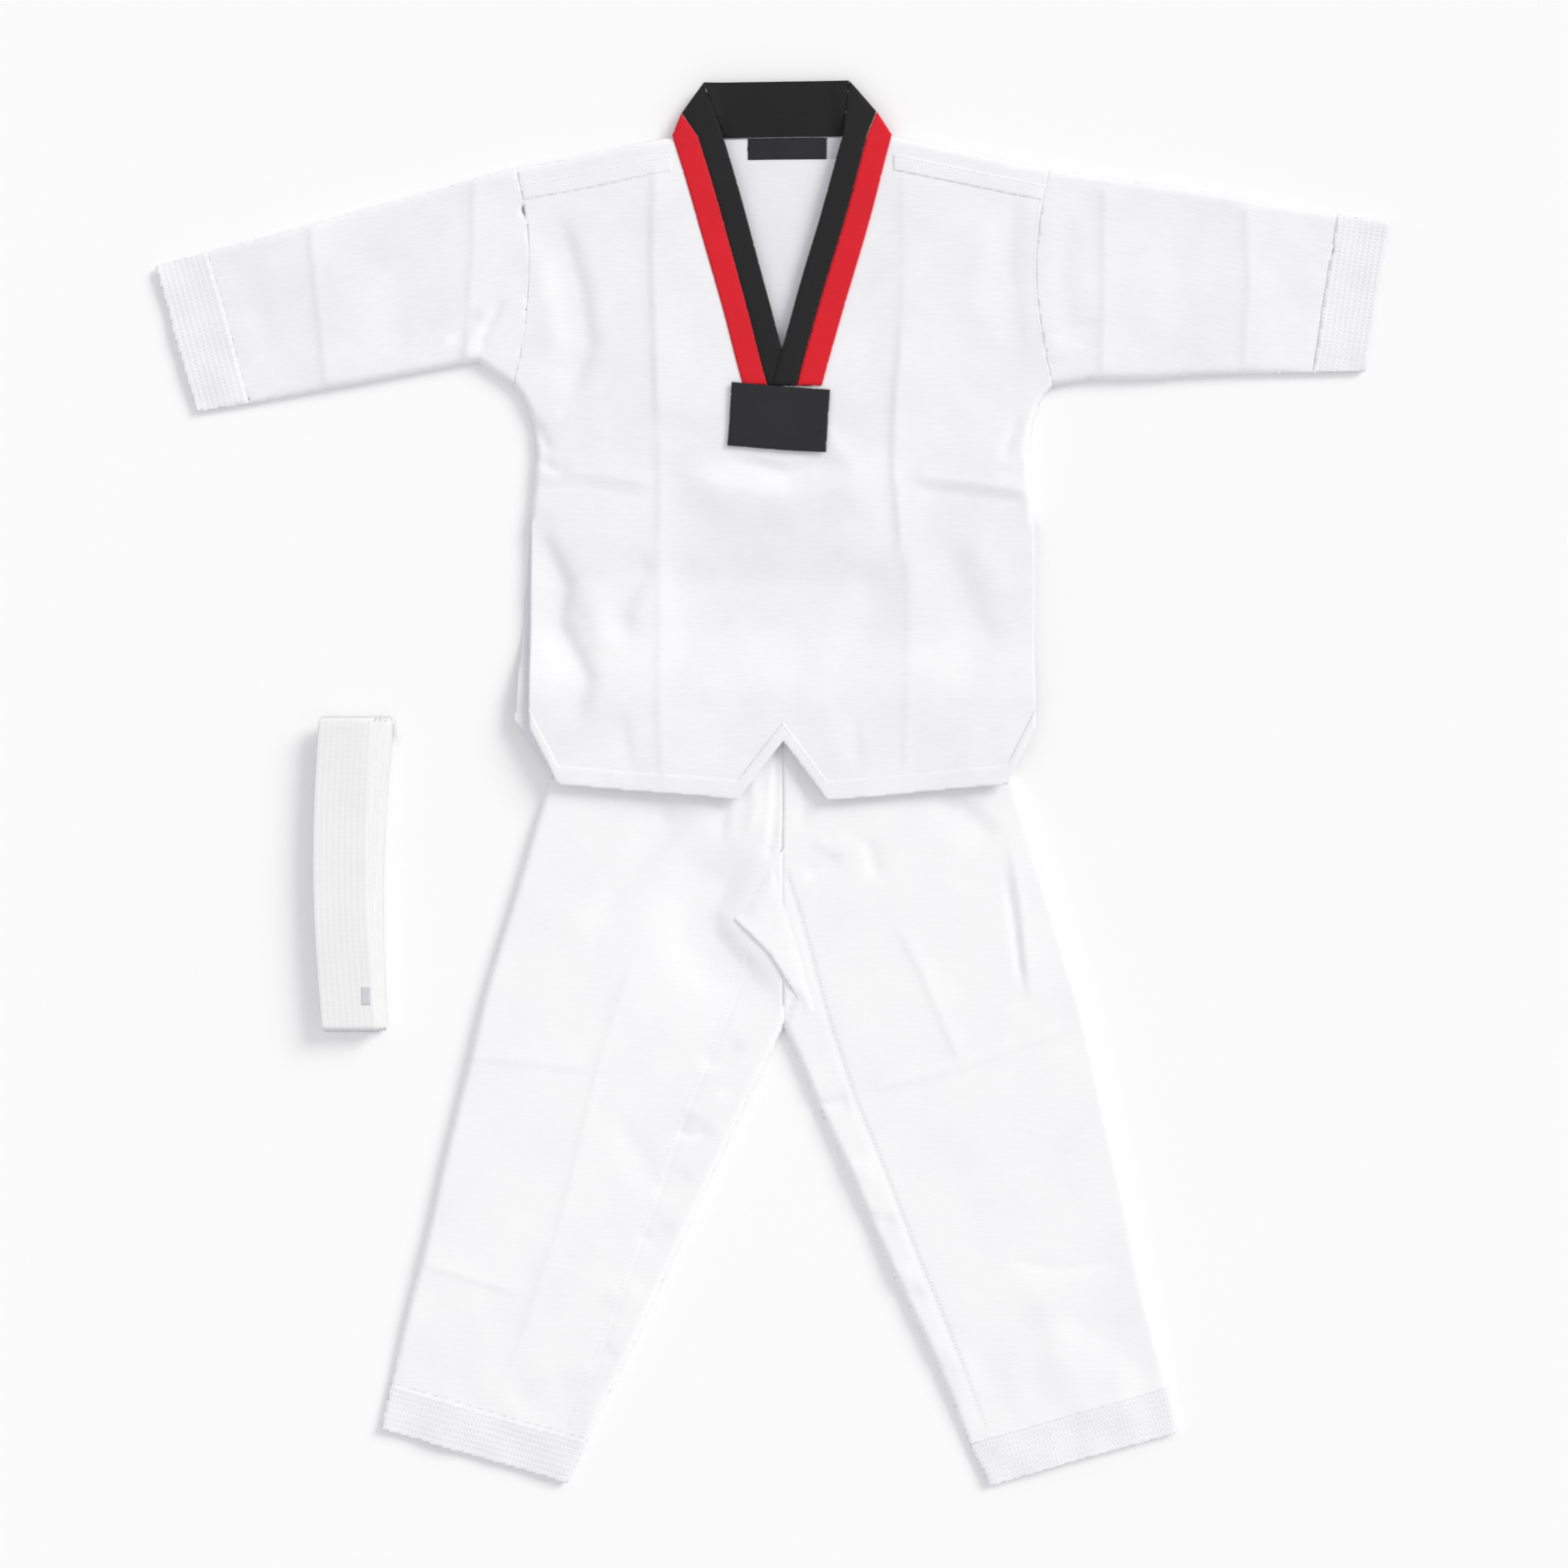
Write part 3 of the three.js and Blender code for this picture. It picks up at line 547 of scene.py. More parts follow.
def nearest_on(points, lines):
    """Each point's nearest place on any of the lines, and how far from it that is."""
    places = points
    gaps = np.full(len(points), 1.0)
    for ax, ay, bx, by in lines:
        start, step = np.array((ax, ay)), np.array((bx - ax, by - ay))
        share = np.clip(((points - start) @ step) / (step @ step), 0, 1)
        feet = start + share[:, None] * step
        away = np.hypot(*(points - feet).T)
        places = np.where((away < gaps)[:, None], feet, places)
        gaps = np.minimum(gaps, away)
    return places, gaps


def off_lines(points, lines):
    return nearest_on(points, lines)[1]


def seam_distance(sheet, seams, apart=(), mouth=None, near=SEAM_NEAR):
    """How far each vertex is from the part of the sheet's edge that the named seams close.

    Edge shared with the solids in `apart` stays open, because the cloth runs on across it.
    """
    points = places_of(sheet)
    sheet.verts.index_update()
    rim = np.nonzero([vert.is_boundary for vert in sheet.verts])[0]
    shut = off_lines(points[rim], edge_lines(seams)) < near
    if apart:
        shut &= off_lines(points[rim], edge_lines(apart)) > SEAM_NEAR
    if mouth:
        corner, outward, along = mouth
        shut &= np.abs((points[rim] - corner) @ outward) > 0.4 * MM
    closed = np.zeros(len(points), bool)
    closed[rim] = shut
    lines = [(*edge.verts[0].co.xy, *edge.verts[1].co.xy) for edge in sheet.edges
             if edge.is_boundary and (closed[edge.verts[0].index] or closed[edge.verts[1].index])]
    return off_lines(points, np.array(lines))


def rounded(distance, height, level, reach):
    """Cloth that curves down (or up) to meet the other layer at a closed edge."""
    share = np.clip(distance / reach, 0, 1)
    return level + (height - level) * np.sqrt(1 - (1 - share) ** 2)


def lay_sheet(sheet, heights, turn=0.0):
    """Sets the sheet's heights, its millimetre-true UV map along the grain, and its wander."""
    points = places_of(sheet)
    wander = drift(points)
    grain = Matrix.Rotation(-turn, 2)
    layer = sheet.loops.layers.uv.new("weave")
    for face in sheet.faces:
        for loop in face.loops:
            loop[layer].uv = grain @ loop.vert.co.xy
    for vert, z, (dx, dy) in zip(sheet.verts, heights, wander):
        vert.co.z = z
        vert.co.x += dx
        vert.co.y += dy


def close_gap(sheet, neighbours, tuck):
    """Moves the rim next to the named solids out to meet them and a little past, tucked under."""
    rim = [vert for vert in sheet.verts if vert.is_boundary]
    spots = np.array([vert.co.xy for vert in rim])
    feet, gaps = nearest_on(spots, edge_lines(neighbours))
    for vert, spot, foot, gap in zip(rim, spots, feet, gaps):
        if 1e-6 < gap < 0.75 * MM:
            vert.co.xy = spot + (foot - spot) * (1 + tuck * MM / gap)


def soft_rim(sheet, heights, drop, reach):
    """Lowers the sheet's rim, so that a band's edge sinks into what it lies on."""
    points = places_of(sheet)
    lines = np.array([(*edge.verts[0].co.xy, *edge.verts[1].co.xy) for edge in sheet.edges
                      if edge.is_boundary])
    return heights - drop * MM * (1 - smooth(off_lines(points, lines) / (reach * MM)))


def area_of(sheet):
    return sum(face.calc_area() for face in sheet.faces)


def new_piece(name, made, material, body):
    """Turns a finished bmesh into a named, smooth-shaded object that rides on its body."""
    for face in made.faces:
        face.smooth = True
    data = bpy.data.meshes.new(name)
    made.to_mesh(data)
    made.free()
    data.materials.append(material)
    piece = bpy.data.objects.new(name, data)
    bpy.context.scene.collection.objects.link(piece)
    if body:
        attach(piece, body)
    return piece


def thicken(piece, thickness, offset=-1):
    wall = piece.modifiers.new("cloth_thickness", "SOLIDIFY")
    wall.thickness = thickness
    wall.offset = offset
    wall.use_even_offset = False


def mark_rows(piece, hem, along):
    """Stores each vertex's distance in from the hem and along it, for the rows of stitching."""
    for label, values in (("rows", hem), ("along", along)):
        attribute = piece.data.attributes.new(label, "FLOAT", "POINT")
        attribute.data.foreach_set("value", np.array(values, np.float32))


def finish_sheet(name, sheets, material, body, thickness, rows=None):
    """Joins laid sheets into one named piece, welds closed edges and gives it its thickness."""
    joined = bmesh.new()
    for sheet in sheets:
        add_into(joined, sheet)
    bmesh.ops.remove_doubles(joined, verts=joined.verts, dist=0.3 * MM)
    if len(sheets) > 1:
        rim = [edge for edge in joined.edges if edge.is_boundary]
        bmesh.ops.holes_fill(joined, edges=rim, sides=8)
    piece = new_piece(name, joined, material, body)
    if rows:
        mark_rows(piece, *rows(np.array([vert.co[:2] for vert in piece.data.vertices])))
    thicken(piece, thickness)
    return piece


def one_layer(name, nodes, height_of, material, body, also=(), facing=1,
              seams=(), apart=(), thickness=CLOTH, grid=GRID, turn=0.0, low=-1.0, outline=None,
              rim=None):
    """One layer of cloth that stands for the named solids.
    """
    sheet = plan_from(outline, grid) if outline else plan_of(nodes, facing, low, 1.0, grid)
    flat = area_of(sheet)
    points = places_of(sheet)
    heights = height_of(points)
    if seams:
        heights = rounded(seam_distance(sheet, seams, apart), heights, SEAM_LEVEL, SEAM_ROUND)
    if rim:
        heights = soft_rim(sheet, heights, *rim)
    lay_sheet(sheet, heights, turn)
    piece = finish_sheet(name, [sheet], material, body, thickness)
    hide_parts(*nodes, *also)
    return piece


def two_layers(name, front, back, seams, apart, front_height, back_height, material,
               body=None, also=(), meets=(), tuck=0.25, turn=0.0,
               grid=GRID, mouth=None, near=SEAM_NEAR, rows=None):
    """A tube of cloth laid flat: two layers whose closed edges roll together."""
    layers = []
    flat = 0.0
    for nodes, facing, height_of in ((front, 1, front_height), (back, -1, back_height)):
        # The front layer's upper faces are above 5 mm, and the back one's lower faces under 3 mm
        low, high = (5 * MM, 1.0) if facing > 0 else (-1.0, 3 * MM)
        sheet = plan_of(nodes, facing, low, high, grid)
        flat += area_of(sheet)
        distance = seam_distance(sheet, seams, apart, mouth, near)
        heights = rounded(distance, height_of(places_of(sheet)), SEAM_LEVEL, SEAM_ROUND)
        close_gap(sheet, meets, tuck)
        lay_sheet(sheet, heights, turn)
        layers.append(sheet)
    piece = finish_sheet(name, layers, material, body, CLOTH, rows)
    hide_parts(*dict.fromkeys([*front, *back, *also]))
    return piece


def bend(piece):
    """Bakes the piece's placing into its mesh."""
    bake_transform(piece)


def above(height_of, lift):
    return lambda points: height_of(points) + lift * MM


# ---------------------------------------------------------------- stitches and threads

# How far the thread presses into the cloth, in mm
STITCH_SINK = 0.1
# One stitch: a small round-ended grain of thread, of radius 1, stretched where it is sewn
round_grain = bmesh.new()
bmesh.ops.create_icosphere(round_grain, subdivisions=1, radius=1.0)
stitch_grain = bpy.data.meshes.new("stitch_grain")
round_grain.to_mesh(stitch_grain)
round_grain.free()


def walk(path, pitch):
    """Evenly spaced places along a path, in metres, with the direction at each."""
    path = np.array(path, float)
    steps = np.diff(path, axis=0)
    lengths = np.hypot(steps[:, 0], steps[:, 1])
    reach = np.concatenate([[0.0], np.cumsum(lengths)])
    count = max(int(reach[-1] / pitch), 1)
    spots = (np.arange(count) + 0.5) * reach[-1] / count
    index = np.clip(np.searchsorted(reach, spots, side="right") - 1, 0, len(steps) - 1)
    share = (spots - reach[index]) / lengths[index]
    return path[index] + share[:, None] * steps[index], steps[index] / lengths[index][:, None]


def stitches(name, paths, surface, material, body, pitch=3.2, length=2.3,
             width=0.55):
    """Rows of real stitches that lie on a surface, one object for a group of rows."""
    sewn = bmesh.new()
    for path in paths:
        spots, headings = walk(np.array(path) * MM, pitch * MM)
        before = surface(spots - headings * length * MM / 2)
        after = surface(spots + headings * length * MM / 2)
        rise = (width * 0.35 - STITCH_SINK) * MM
        for spot, heading, low, high, shift in zip(spots, headings, before, after, drift(spots)):
            run = Vector((*(heading * length * MM), high - low))
            place = Matrix.Translation((*(spot + shift), (low + high) / 2 + rise))
            turned = run.to_track_quat("X", "Z").to_matrix().to_4x4()
            sized = Matrix.Diagonal((run.length / 2, width * MM / 2, width * MM * 0.4, 1))
            whole = place @ turned @ sized
            stitch_grain.transform(whole)
            sewn.from_mesh(stitch_grain)
            stitch_grain.transform(whole.inverted())
    return new_piece(name, sewn, material, body)


def thread_ends(name, paths, material, body, width=0.5):
    """Loose ends of sewing thread: each a thin round strand along a path in millimetres."""
    strands = bmesh.new()
    for path in paths:
        points = [Vector(point) * MM for point in path]
        ring = bmesh.ops.create_circle(strands, segments=6, radius=width * MM / 2)["verts"]
        heading = (points[1] - points[0]).normalized().to_track_quat("Z", "Y")
        bmesh.ops.transform(strands, verts=ring, matrix=Matrix.Translation(points[0])
                            @ heading.to_matrix().to_4x4())
        edges = list({edge for vert in ring for edge in vert.link_edges})
        first_ring = list(ring)
        for here, there in zip(points[:-1], points[1:]):
            grown = bmesh.ops.extrude_edge_only(strands, edges=edges)["geom"]
            ring = [item for item in grown if isinstance(item, bmesh.types.BMVert)]
            edges = [item for item in grown if isinstance(item, bmesh.types.BMEdge)]
            bmesh.ops.translate(strands, verts=ring, vec=there - here)
        for end in (ring, first_ring):
            bmesh.ops.contextual_create(strands, geom=end)
    bmesh.ops.recalc_face_normals(strands, faces=strands.faces)
    new_piece(name, strands, material, body)


# ---------------------------------------------------------------- camera, floor and light

VIEW_WIDTH = 1.255
VIEW_CENTRE = (0.0090, 0.0006)
VIEW_HEIGHT = 2.1
SENSOR = 36
FLOOR_DROP = 0.6 * MM
camera_data = bpy.data.cameras.new("camera")
camera = bpy.data.objects.new("camera", camera_data)
bpy.context.scene.collection.objects.link(camera)
camera.location = (*VIEW_CENTRE, VIEW_HEIGHT)
camera_data.sensor_width = SENSOR
camera_data.lens = SENSOR * (VIEW_HEIGHT - front_top) / VIEW_WIDTH
camera_data.clip_end = 120
bpy.context.scene.camera = camera

# Matt white paper, machine-calendered: a clean even ground with barely any gloss
floor_material, floor_tree, floor_shader = new_material("matt_white_paper_floor", 0.95)
floor_place = add_node(floor_tree, "ShaderNodeTexCoord", output="Object")
floor_cloud = add_node(floor_tree, "ShaderNodeTexNoise",
                       {"Scale": PAPER_CLOUDS, "Vector": floor_place}, output="Fac")
floor_tone = add_node(floor_tree, "ShaderNodeValToRGB", {"Fac": floor_cloud})
for stop, code in zip(floor_tone.node.color_ramp.elements, ("#fbfbfb", "#fdfdfd")):
    stop.color = srgb(code)
floor_tree.links.new(floor_tone, floor_shader.inputs["Base Color"])
floor_mesh = bmesh.new()
bmesh.ops.create_grid(floor_mesh, x_segments=2, y_segments=2, size=40)
floor_data = bpy.data.meshes.new("floor")
floor_mesh.to_mesh(floor_data)
floor_mesh.free()
floor_data.materials.append(floor_material)
floor_data.transform(Matrix.Translation((0, 0, -FLOOR_DROP)))
floor = bpy.data.objects.new("floor", floor_data)
bpy.context.scene.collection.objects.link(floor)

world = bpy.data.worlds.new("soft_room")
world.use_nodes = True
world.node_tree.nodes["Background"].inputs["Color"].default_value = srgb("#fbfbfe")
world.node_tree.nodes["Background"].inputs["Strength"].default_value = 0.652
bpy.context.scene.world = world
bpy.context.scene.view_settings.view_transform = "Standard"

# Far, wide, soft lights: the direction to each, how many degrees wide it looks, its strength
for name, aim, spread, strength, colour in (
        ("key_light", (0.70, 0.52, 0.51), 28, 1.76, "#fffdf8"),
        ("fill_light", (-0.35, -0.25, 0.9), 60, 0.3, "#fcfcfe")):
    lamp_data = bpy.data.lights.new(name, "SUN")
    lamp_data.angle = math.radians(spread)
    lamp_data.energy = strength
    lamp_data.color = srgb(colour)[:3]
    lamp = bpy.data.objects.new(name, lamp_data)
    lamp.rotation_euler = Vector(aim).to_track_quat("Z", "Y").to_euler()
    bpy.context.scene.collection.objects.link(lamp)


# ---------------------------------------------------------------- where each open end lies

def mouth_of(node, rough):
    """An open end's corner, the direction out of it and the direction along it."""
    rough = np.array(rough) / np.hypot(*rough)
    spots = np.array([v.co[:2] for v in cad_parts[node].data.vertices])
    order = spots[np.argsort(-(spots @ rough))]
    first = order[0]
    second = next(spot for spot in order if np.hypot(*(spot - first)) > 50 * MM)
    along = (second - first) / np.hypot(*(second - first))
    outward = np.array((along[1], -along[0]))
    if outward @ rough < 0:
        outward = -outward
    return first, outward, along


def open_end(height_of, mouth, gape):
    """Cloth near an open end settles towards the layer below it, unevenly."""
    corner, outward, _ = mouth

    def height(points):
        full = height_of(points)
        near = 1 - smooth(((corner - points) @ outward) / MOUTH_REACH)
        lip = gape * MM + unrest(points, 26, 1.6, 4.4)
        return full + (np.minimum(lip, full) - full) * near

    return height


def mouth_rows(mouth):
    corner, outward, along = mouth
    return lambda points: (-(points - corner) @ outward, (points - corner) @ along)


sleeve_mouths = {hand: mouth_of(hand + "_sleeve_cuff", (side, -0.22))
                 for hand, side in HANDS.items()}
leg_mouths = {hand: mouth_of(hand + "_leg_cuff", (0.27 * side, -0.96))
              for hand, side in HANDS.items()}
sleeve_heights = {hand: open_end(jacket_front_height, sleeve_mouths[hand], 4.6) for hand in HANDS}
leg_heights = {hand: open_end(leg_front_height, leg_mouths[hand], 4.8) for hand in HANDS}


# ---------------------------------------------------------------- jacket

sleeve_nodes = [hand + part for hand in HANDS for part in ("_sleeve_front", "_sleeve_back")]
yokes = [hand + "_shoulder_yoke" for hand in HANDS]
side_seams = [hand + "_side_seam" for hand in HANDS]
lapels = [hand + "_lapel_" + colour for hand in HANDS for colour in ("black", "red")]
# How far each band lies above the cloth, in mm: the left lapel laps over the right
LAP_LIFT = {"right": 1.0, "left": 2.0}
BAND_LIFT = 0.45
HEM_LIFT = 0.4
TAG_LIFT = 1.2
CUFF_LIFT = 0.15

jacket_front = one_layer(
    "jacket_front_cloth", ["jacket_front_panel", "jacket_front_tail", *yokes],
    jacket_front_height, white_cloth, None,
    also=side_seams, seams=side_seams + yokes, apart=sleeve_nodes + lapels, low=5 * MM)
bend(jacket_front)
# The back layer takes the cloth with painted shade, greyer than the front layer's
one_layer("jacket_back_cloth", ["jacket_back_panel"], jacket_back_height, shade_greyed_back_cloth, "jacket",
          facing=-1, seams=side_seams + yokes,
          apart=sleeve_nodes + ["neck_label", "collar_stand"])
one_layer("jacket_back_hem_band", ["jacket_back_hem"], above(jacket_back_height, 1.7),
          white_cloth, "jacket",
          grid=2.4 * MM)
one_layer("jacket_front_hem_band", ["jacket_front_hem"], above(jacket_front_height, HEM_LIFT),
          white_cloth, "front_tail",
          grid=2.0 * MM, thickness=THIN_BAND, rim=(0.4, 2.4))
for hand, side in HANDS.items():
    one_layer(hand + "_shoulder_seam_band", [hand + "_shoulder_band"],
              above(jacket_front_height, BAND_LIFT), white_cloth, "jacket",
              grid=2.0 * MM, thickness=THIN_BAND,
              rim=(0.5, 2.4))
    for colour, cloth in (("red", red_cloth), ("black", black_cloth)):
        node = hand + "_lapel_" + colour
        one_layer(node + "_band", [node], above(jacket_front_height, LAP_LIFT[hand]), cloth,
                  "jacket",
                  grid=2.0 * MM, thickness=BAND_CLOTH, turn=side * 0.33, rim=(0.45, 2.2))

stand_low, stand_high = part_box("collar_stand")


def collar_height(points):
    share = np.clip((points[:, 1] - stand_low.y) / (stand_high.y - stand_low.y), 0, 1)
    own = (2.4 + 6.6 * share ** 0.85) * MM + unrest(points, 40, 0.5, 7.7)
    middle, half = (stand_low.x + stand_high.x) / 2, (stand_high.x - stand_low.x) / 2
    side = smooth((np.abs(points[:, 0] - middle) / half - 0.72) / 0.24) * smooth(share / 0.5)
    return own + (front_top + 0.4 * MM - own) * side


one_layer("collar_stand_band", ["collar_stand"], collar_height, black_cloth, "jacket",
          grid=2.4 * MM,
          thickness=BAND_CLOTH)


def badge_height(points):
    own = front_top + 2.5 * MM + unrest(points, 30, 0.35, 9.1)
    return own + relief(points, JACKET_FOLDS) * 0.5


one_layer("chest_badge", ["chest_patch"], badge_height, badge_cloth, "jacket",
          grid=1.6 * MM, thickness=0.8 * MM, rim=(0.4, 1.8))
for node, name, material, slot, size in (
        ("neck_label", "plain_neck_label", label_satin, "woven_label", (0.064, 0.017)),
        ("size_tag", "plain_size_tag", tag_ribbon, "printed_tag", (0.013, 0.016))):
    one_layer(name, [node], above(jacket_back_height, TAG_LIFT), material, "jacket",
              grid=1.6 * MM, thickness=0.4 * MM)

for hand, side in HANDS.items():
    cuff = hand + "_sleeve_cuff"
    front, back = [hand + "_sleeve_front"], [hand + "_sleeve_back"]
    seams = [hand + "_sleeve_fold", hand + "_underarm_seam"]
    body_edge = ["jacket_front_panel", "jacket_back_panel"]
    sleeve = two_layers(
        hand + "_sleeve_cloth", front, back, seams, [*body_edge, cuff], sleeve_heights[hand],
        jacket_back_height, white_cloth, also=seams,
        meets=[*body_edge, hand + "_shoulder_yoke"], turn=side * -0.2, near=40 * MM)
    bend(sleeve)
    two_layers(
        cuff + "_band", [cuff], [cuff], [cuff], front + back, above(sleeve_heights[hand], CUFF_LIFT),
        jacket_back_height, stitched_hem,
        hand + "_sleeve", meets=front + back, tuck=1.0, turn=side * -0.2,
        grid=2.4 * MM, mouth=sleeve_mouths[hand], rows=mouth_rows(sleeve_mouths[hand]))


# ---------------------------------------------------------------- trousers

for hand, other in (("right", "left"), ("left", "right")):
    cuff = hand + "_leg_cuff"
    front = [hand + part for part in ("_leg_front", "_inner_gusset", "_shin_front")]
    back = [hand + part for part in ("_leg_back", "_shin_back")]
    seams = [hand + part for part in ("_leg_outseam", "_leg_inseam", "_shin_outseam",
                                      "_shin_inseam")]
    shin = [hand + "_shin_front", hand + "_shin_back"]
    leg = two_layers(
        hand + "_leg_cloth", front, back, seams,
        ["waistband_front", "waistband_back", cuff, other + "_leg_front"], leg_heights[hand],
        leg_back_height, trouser_cloth, also=seams,
        meets=[other + "_leg_front", other + "_inner_gusset"])
    bend(leg)
    two_layers(
        cuff + "_band", [cuff], [cuff], [cuff], shin, above(leg_heights[hand], CUFF_LIFT),
        leg_back_height, stitched_hem, hand + "_shin",
        meets=shin, tuck=1.0, grid=2.4 * MM, mouth=leg_mouths[hand],
        rows=mouth_rows(leg_mouths[hand]))

FLAP_SEAM = [(-27, -99), (-18, -80), (-10, -66), (-2, -52), (9, -66), (21, -104), (31, -142),
             (45, -192), (10, -194), (16, -178)]


def flap_height(points):
    """The folded edge stands proud over the hollow, and the cloth settles into its seam."""
    edge = np.abs(along_path(points, CROTCH_LAP)[0])
    seam = np.abs(along_path(points, FLAP_SEAM)[0])
    own = np.full(len(points), front_top - 0.9 * MM) + unrest(points, 80, 0.9, 2.3)
    own += 1.5 * MM * np.exp(-edge / (18 * MM)) - 0.7 * MM * (1 - smooth(edge / (2.2 * MM)))
    settled = leg_front_height(points) - 0.8 * MM
    share = smooth(seam / (17 * MM))
    return settled + (own - settled) * share


one_layer("crotch_gusset_fold", ["crotch_gusset"], flap_height, trouser_cloth, "trousers",
          grid=1.6 * MM, outline=CROTCH_FLAP)


def gathered(base, facing):
    """The casing's cloth stands out in small even folds where the elastic draws it in."""
    return lambda points: base + facing * 0.7 * MM * np.cos(
        points[:, 0] * 2 * math.pi / (9 * MM) + 2 * np.sin(points[:, 0] * 40))


def level_at(height):
    return lambda points: np.full(len(points), height)


for layer, facing, base in (("front", 1, front_top - 0.9 * MM), ("back", -1, 0.9 * MM)):
    one_layer("waist_casing_" + layer, ["waistband_" + layer], gathered(base, facing),
              trouser_cloth, "trousers",
              facing=facing, grid=2.0 * MM, thickness=0.5 * MM)
    one_layer("waist_elastic_strip_" + layer, ["waist_elastic_" + layer],
              level_at(base - facing * 1.6 * MM), ribbed_elastic, "trousers",
              facing=facing, grid=4.0 * MM,
              thickness=0.5 * MM)


# ---------------------------------------------------------------- belt

strap_low, strap_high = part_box("belt_top_layer")
BELT_LAYERS = 9
BELT_PITCH = 1.85 * MM
BELT_WALL = 1.3 * MM
BELT_ROWS = 9
BELT_ROW_CUTS = 6
BELT_STEP = 4.4 * MM
belt_length = strap_high.y - strap_low.y
belt_width = strap_high.x - strap_low.x
belt_x = (strap_low.x + strap_high.x) / 2
belt_reach = belt_length - BELT_PITCH
belt_turn = math.pi * BELT_PITCH / 2
belt_total = BELT_LAYERS * belt_reach + (BELT_LAYERS - 1) * belt_turn
BELT_FAN = [13.5, 12.6, 11.6, 9.0, 8.0, 6.8, 4.0, 2.6, 0.0]


def belt_fan(layer, height):
    """How far a layer lies out to the side: more for lower layers, and more near the top end."""
    return (0.4 + 0.6 * height) * MM * float(np.interp(layer, range(BELT_LAYERS), BELT_FAN))


def belt_bow(height):
    """The whole bundle lies in a slight curve, and leans a little."""
    return -6.0 * MM * math.sin(height * math.pi) + 2.5 * MM * (1 - height)


def belt_place(across, run):
    """Where a point of the unfolded strap lies once it is folded to and fro."""
    step = min(int(run / (belt_reach + belt_turn)), BELT_LAYERS - 1)
    into = run - step * (belt_reach + belt_turn)
    level = step * BELT_PITCH + FLOOR_REST + BELT_WALL
    layer = step
    y = min(into, belt_reach)
    if into > belt_reach:
        angle = (into - belt_reach) / belt_turn * math.pi
        y += math.sin(angle) * BELT_PITCH / 2
        level += (1 - math.cos(angle)) * BELT_PITCH / 2
        layer += angle / math.pi
    if step % 2 == 0:
        y = belt_reach - y
    height = min(max(y / belt_reach, 0.0), 1.0)
    level += noise.noise(Vector((across * 2, y * 9, layer * 0.6))) * 0.15 * MM
    level += 0.12 * MM * abs(math.cos(across * BELT_ROWS * math.pi)) ** 0.5
    corner = max(0.0, abs(across) * 2 - 0.88) / 0.12
    at_end = max(0.0, 1 - min(abs(y), abs(belt_reach - y)) / (6 * MM))
    squeeze = 1 - 0.012 * corner * at_end
    east = across * belt_width * squeeze + belt_fan(layer, height) + belt_bow(height)
    return Vector((belt_x + east, strap_low.y + BELT_PITCH / 2 + y,
                   level - 0.35 * MM * corner))


strip = bmesh.new()
bmesh.ops.create_grid(strip, x_segments=BELT_ROWS * BELT_ROW_CUTS,
                      y_segments=int(belt_total / BELT_STEP), size=0.5)
weave = strip.loops.layers.uv.new("weave")
for face in strip.faces:
    for loop in face.loops:
        loop[weave].uv = ((loop.vert.co.x + 0.5) * belt_width,
                          (loop.vert.co.y + 0.5) * belt_total)
strap_rows = [((vert.co.x + 0.5) * belt_width, (vert.co.y + 0.5) * belt_total)
              for vert in strip.verts]
for vert in strip.verts:
    vert.co = belt_place(vert.co.x, (vert.co.y + 0.5) * belt_total)
bmesh.ops.reverse_faces(strip, faces=strip.faces[:])
strap = new_piece("belt_strap", strip, belt_cloth, None)
mark_rows(strap, *zip(*strap_rows))
thicken(strap, BELT_WALL, 0)
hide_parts("belt_folded_strap", "belt_top_layer")
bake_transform(strap)

label_level = (BELT_LAYERS - 1) * BELT_PITCH + FLOOR_REST + 1.5 * BELT_WALL + 0.5 * MM
one_layer("plain_belt_label", ["belt_label"], level_at(label_level), tag_ribbon, "belt_top",
          grid=1.6 * MM, thickness=0.3 * MM)


# ---------------------------------------------------------------- topstitching

# A grid in metres that is too coarse to cut a panel
UNCUT = 10.0


def stitch_runs(node, inset, longer=0.0, count=None, keep=None):
    """Straight runs along a band's edges in millimetres, set in from them by `inset`."""
    panel = plan_of([node], 1, grid=UNCUT)
    runs = []
    for edge in panel.edges:
        if not edge.is_boundary or edge.calc_length() < longer * MM:
            continue
        loop = edge.link_loops[0]
        a, b = loop.vert.co.xy.copy(), loop.link_loop_next.vert.co.xy.copy()
        heading = (b - a).normalized()
        inward = Vector((-heading.y, heading.x)) * inset * MM
        a, b = a + inward + heading * inset * MM * 0.4, b + inward - heading * inset * MM * 0.4
        if keep is None or keep((a + b) / 2):
            runs.append([tuple(a / MM), tuple(b / MM)])
    panel.free()
    runs.sort(key=lambda run: -math.hypot(run[0][0] - run[1][0], run[0][1] - run[1][1]))
    return runs[:count]


def moved(path, east, north):
    return [(x + east, y + north) for x, y in path]


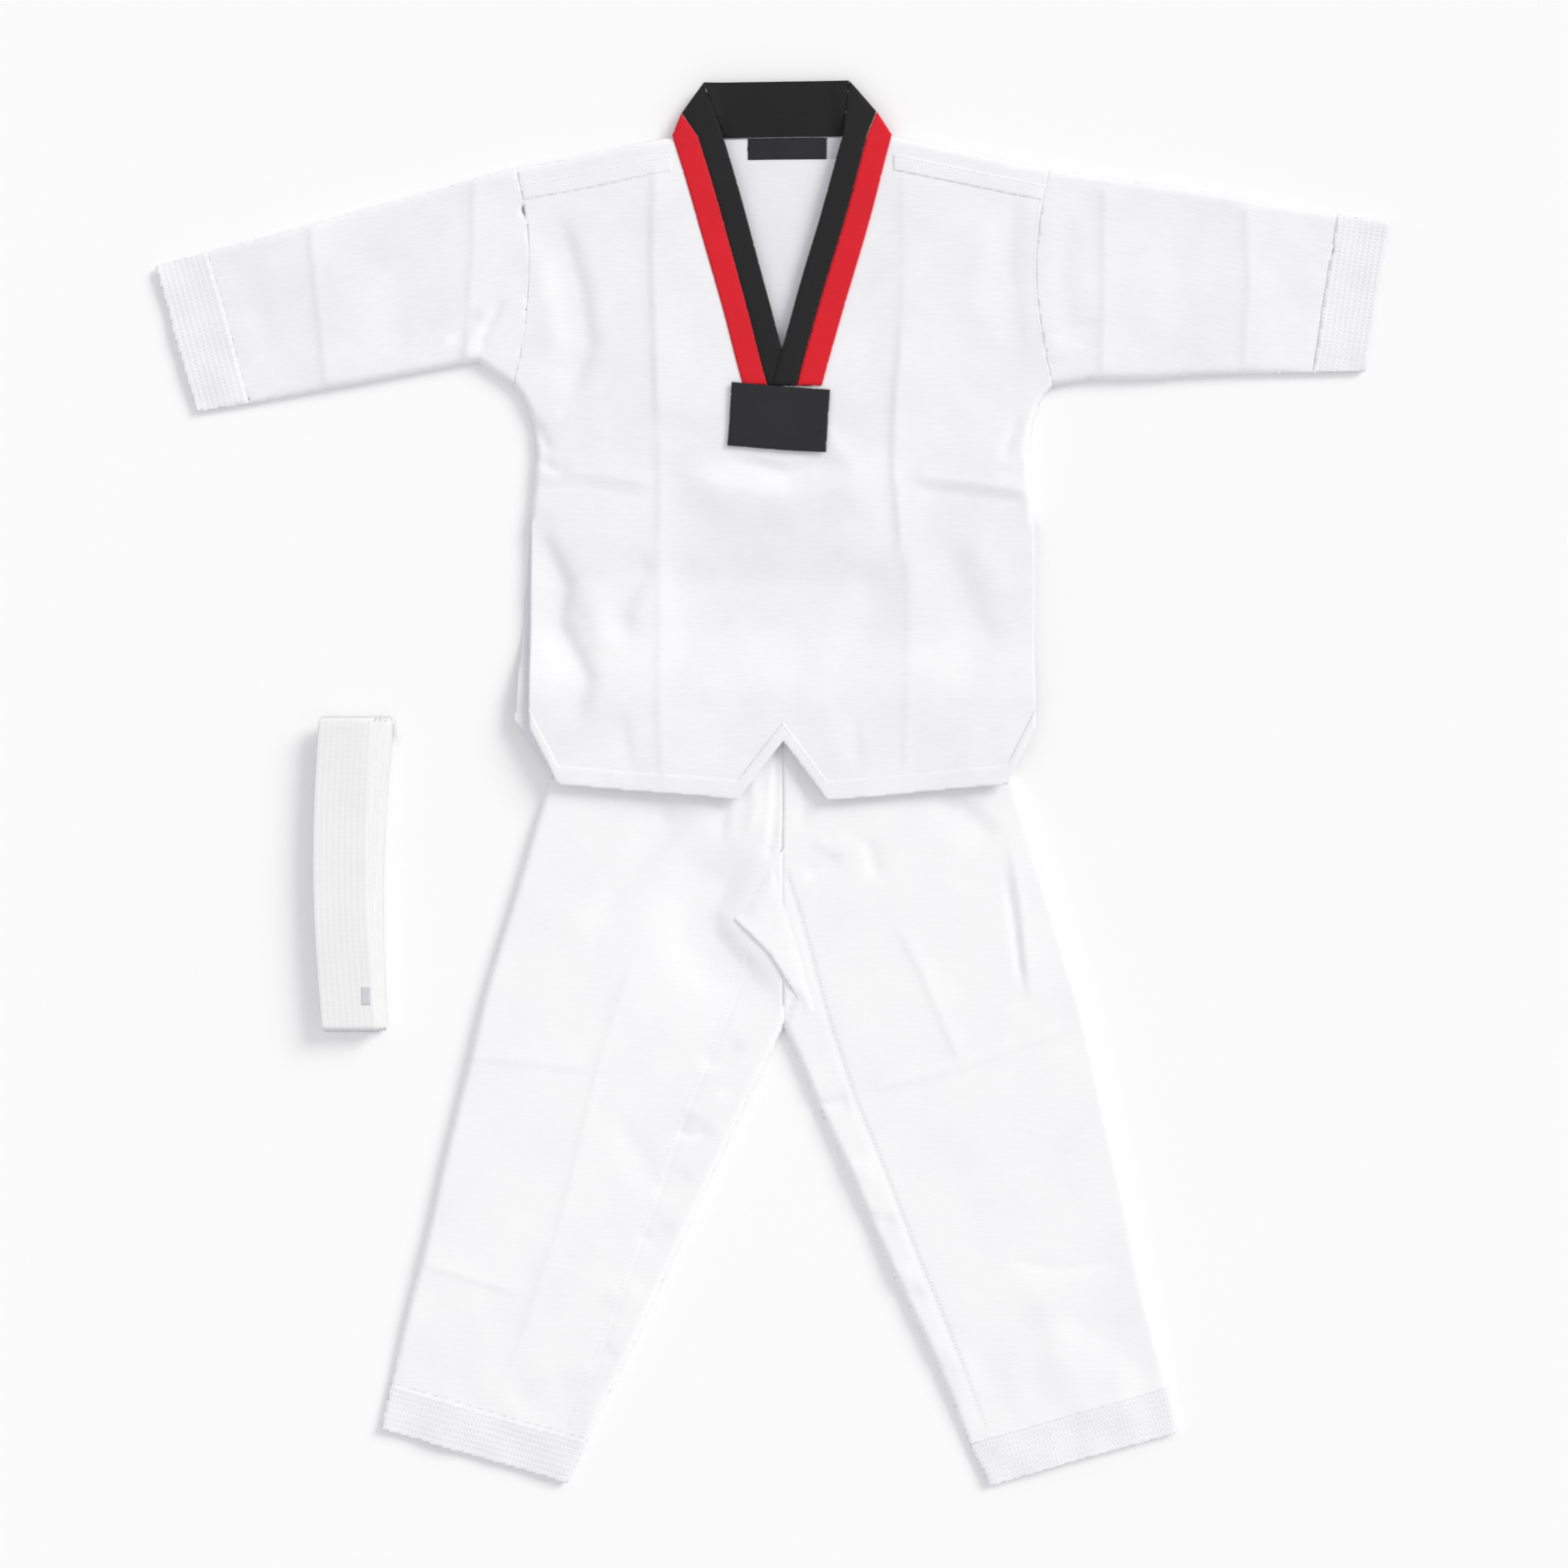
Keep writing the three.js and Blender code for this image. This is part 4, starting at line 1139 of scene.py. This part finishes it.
ARMHOLE = [(-203.5, 488), (-197.5, 450), (-195.5, 410), (-198, 370), (-208, 332)]
CUFFS = (("_sleeve", "_sleeve", sleeve_mouths, sleeve_heights, 121, 40),
         ("_leg", "_shin", leg_mouths, leg_heights, 157, 34))
for hand, side in HANDS.items():
    for colour, thread in (("red", red_thread), ("black", black_thread)):
        node = hand + "_lapel_" + colour
        stitches(node + "_topstitch", stitch_runs(node, 1.6, longer=30, count=2),
                 above(jacket_front_height, LAP_LIFT[hand]), thread, "jacket",
                 pitch=3.0, length=2.1, width=0.5)
    stitches(hand + "_shoulder_topstitch", stitch_runs(hand + "_shoulder_band", 1.8, 30, 2),
             above(jacket_front_height, BAND_LIFT), white_thread, "jacket")
    armhole = ARMHOLE if side < 0 else [(2 * centre_x / MM - x, y) for x, y in ARMHOLE]
    stitches(hand + "_armhole_topstitch", [moved(armhole, -side * 1.5, 0)], jacket_front_height,
             white_thread, "jacket")
    sewn = stitches(hand + "_gusset_topstitch",
                    [moved(GUSSET_SEAMS[hand], side * inset, 0) for inset in (2.2, 4.0)],
                    leg_heights[hand], white_thread, None)
    bend(sewn)
    for part, body, mouths, heights, width, depth in CUFFS:
        corner, outward, along = mouths[hand]
        starts = [corner - outward * back * MM for back in np.arange(3.0, depth, 4.6)]
        runs = [[(start + along * reach * MM) / MM for reach in (7, width - 7)]
                for start in starts]
        stitches(hand + part + "_cuff_stitching", runs, above(heights[hand], CUFF_LIFT),
                 white_thread, hand + body, pitch=3.4, length=2.2)

tail_lines = edge_lines(["jacket_front_tail"])
hem_runs = stitch_runs("jacket_front_hem", 1.7, longer=8,
                       keep=lambda spot: off_lines(np.array([spot]), tail_lines)[0] > 6 * MM)
stitches("jacket_hem_topstitch", hem_runs, above(jacket_front_height, HEM_LIFT), white_thread,
         "front_tail")
stitches("badge_edge_stitching", stitch_runs("chest_patch", 1.7), badge_height, black_thread,
         "jacket", pitch=2.6, length=1.9, width=0.45)

thread_ends("side_slit_thread_ends", [
    [(211.5, 190, 16), (213.5, 191, 16.4), (214.6, 188, 16.2), (214.2, 185.5, 16.0)],
    [(209.5, 160, 17), (211.0, 158, 17.2), (211.8, 155, 17.0), (211.2, 152.5, 16.8)],
], white_thread, "front_tail")
thread_ends("badge_thread_end", [
    [(38, 285, 14.0), (39.2, 284.4, 14.5), (39.4, 283, 14.3), (38.6, 282.4, 14.0)],
], black_thread, "jacket", width=0.7)
thread_ends("belt_end_threads", [
    [(-304, 52 - 9 * k % 7, 2.0 + 0.3 * k), (-302 + 0.6 * k, 50 - 2 * k, 2.6 + 0.3 * k),
     (-300.5 + 0.7 * k, 46.5 - 2.2 * k, 2.2), (-300 + 0.4 * k, 43.5 - 2.6 * k, 1.6)]
    for k in range(5)], white_thread, "belt", width=0.45)
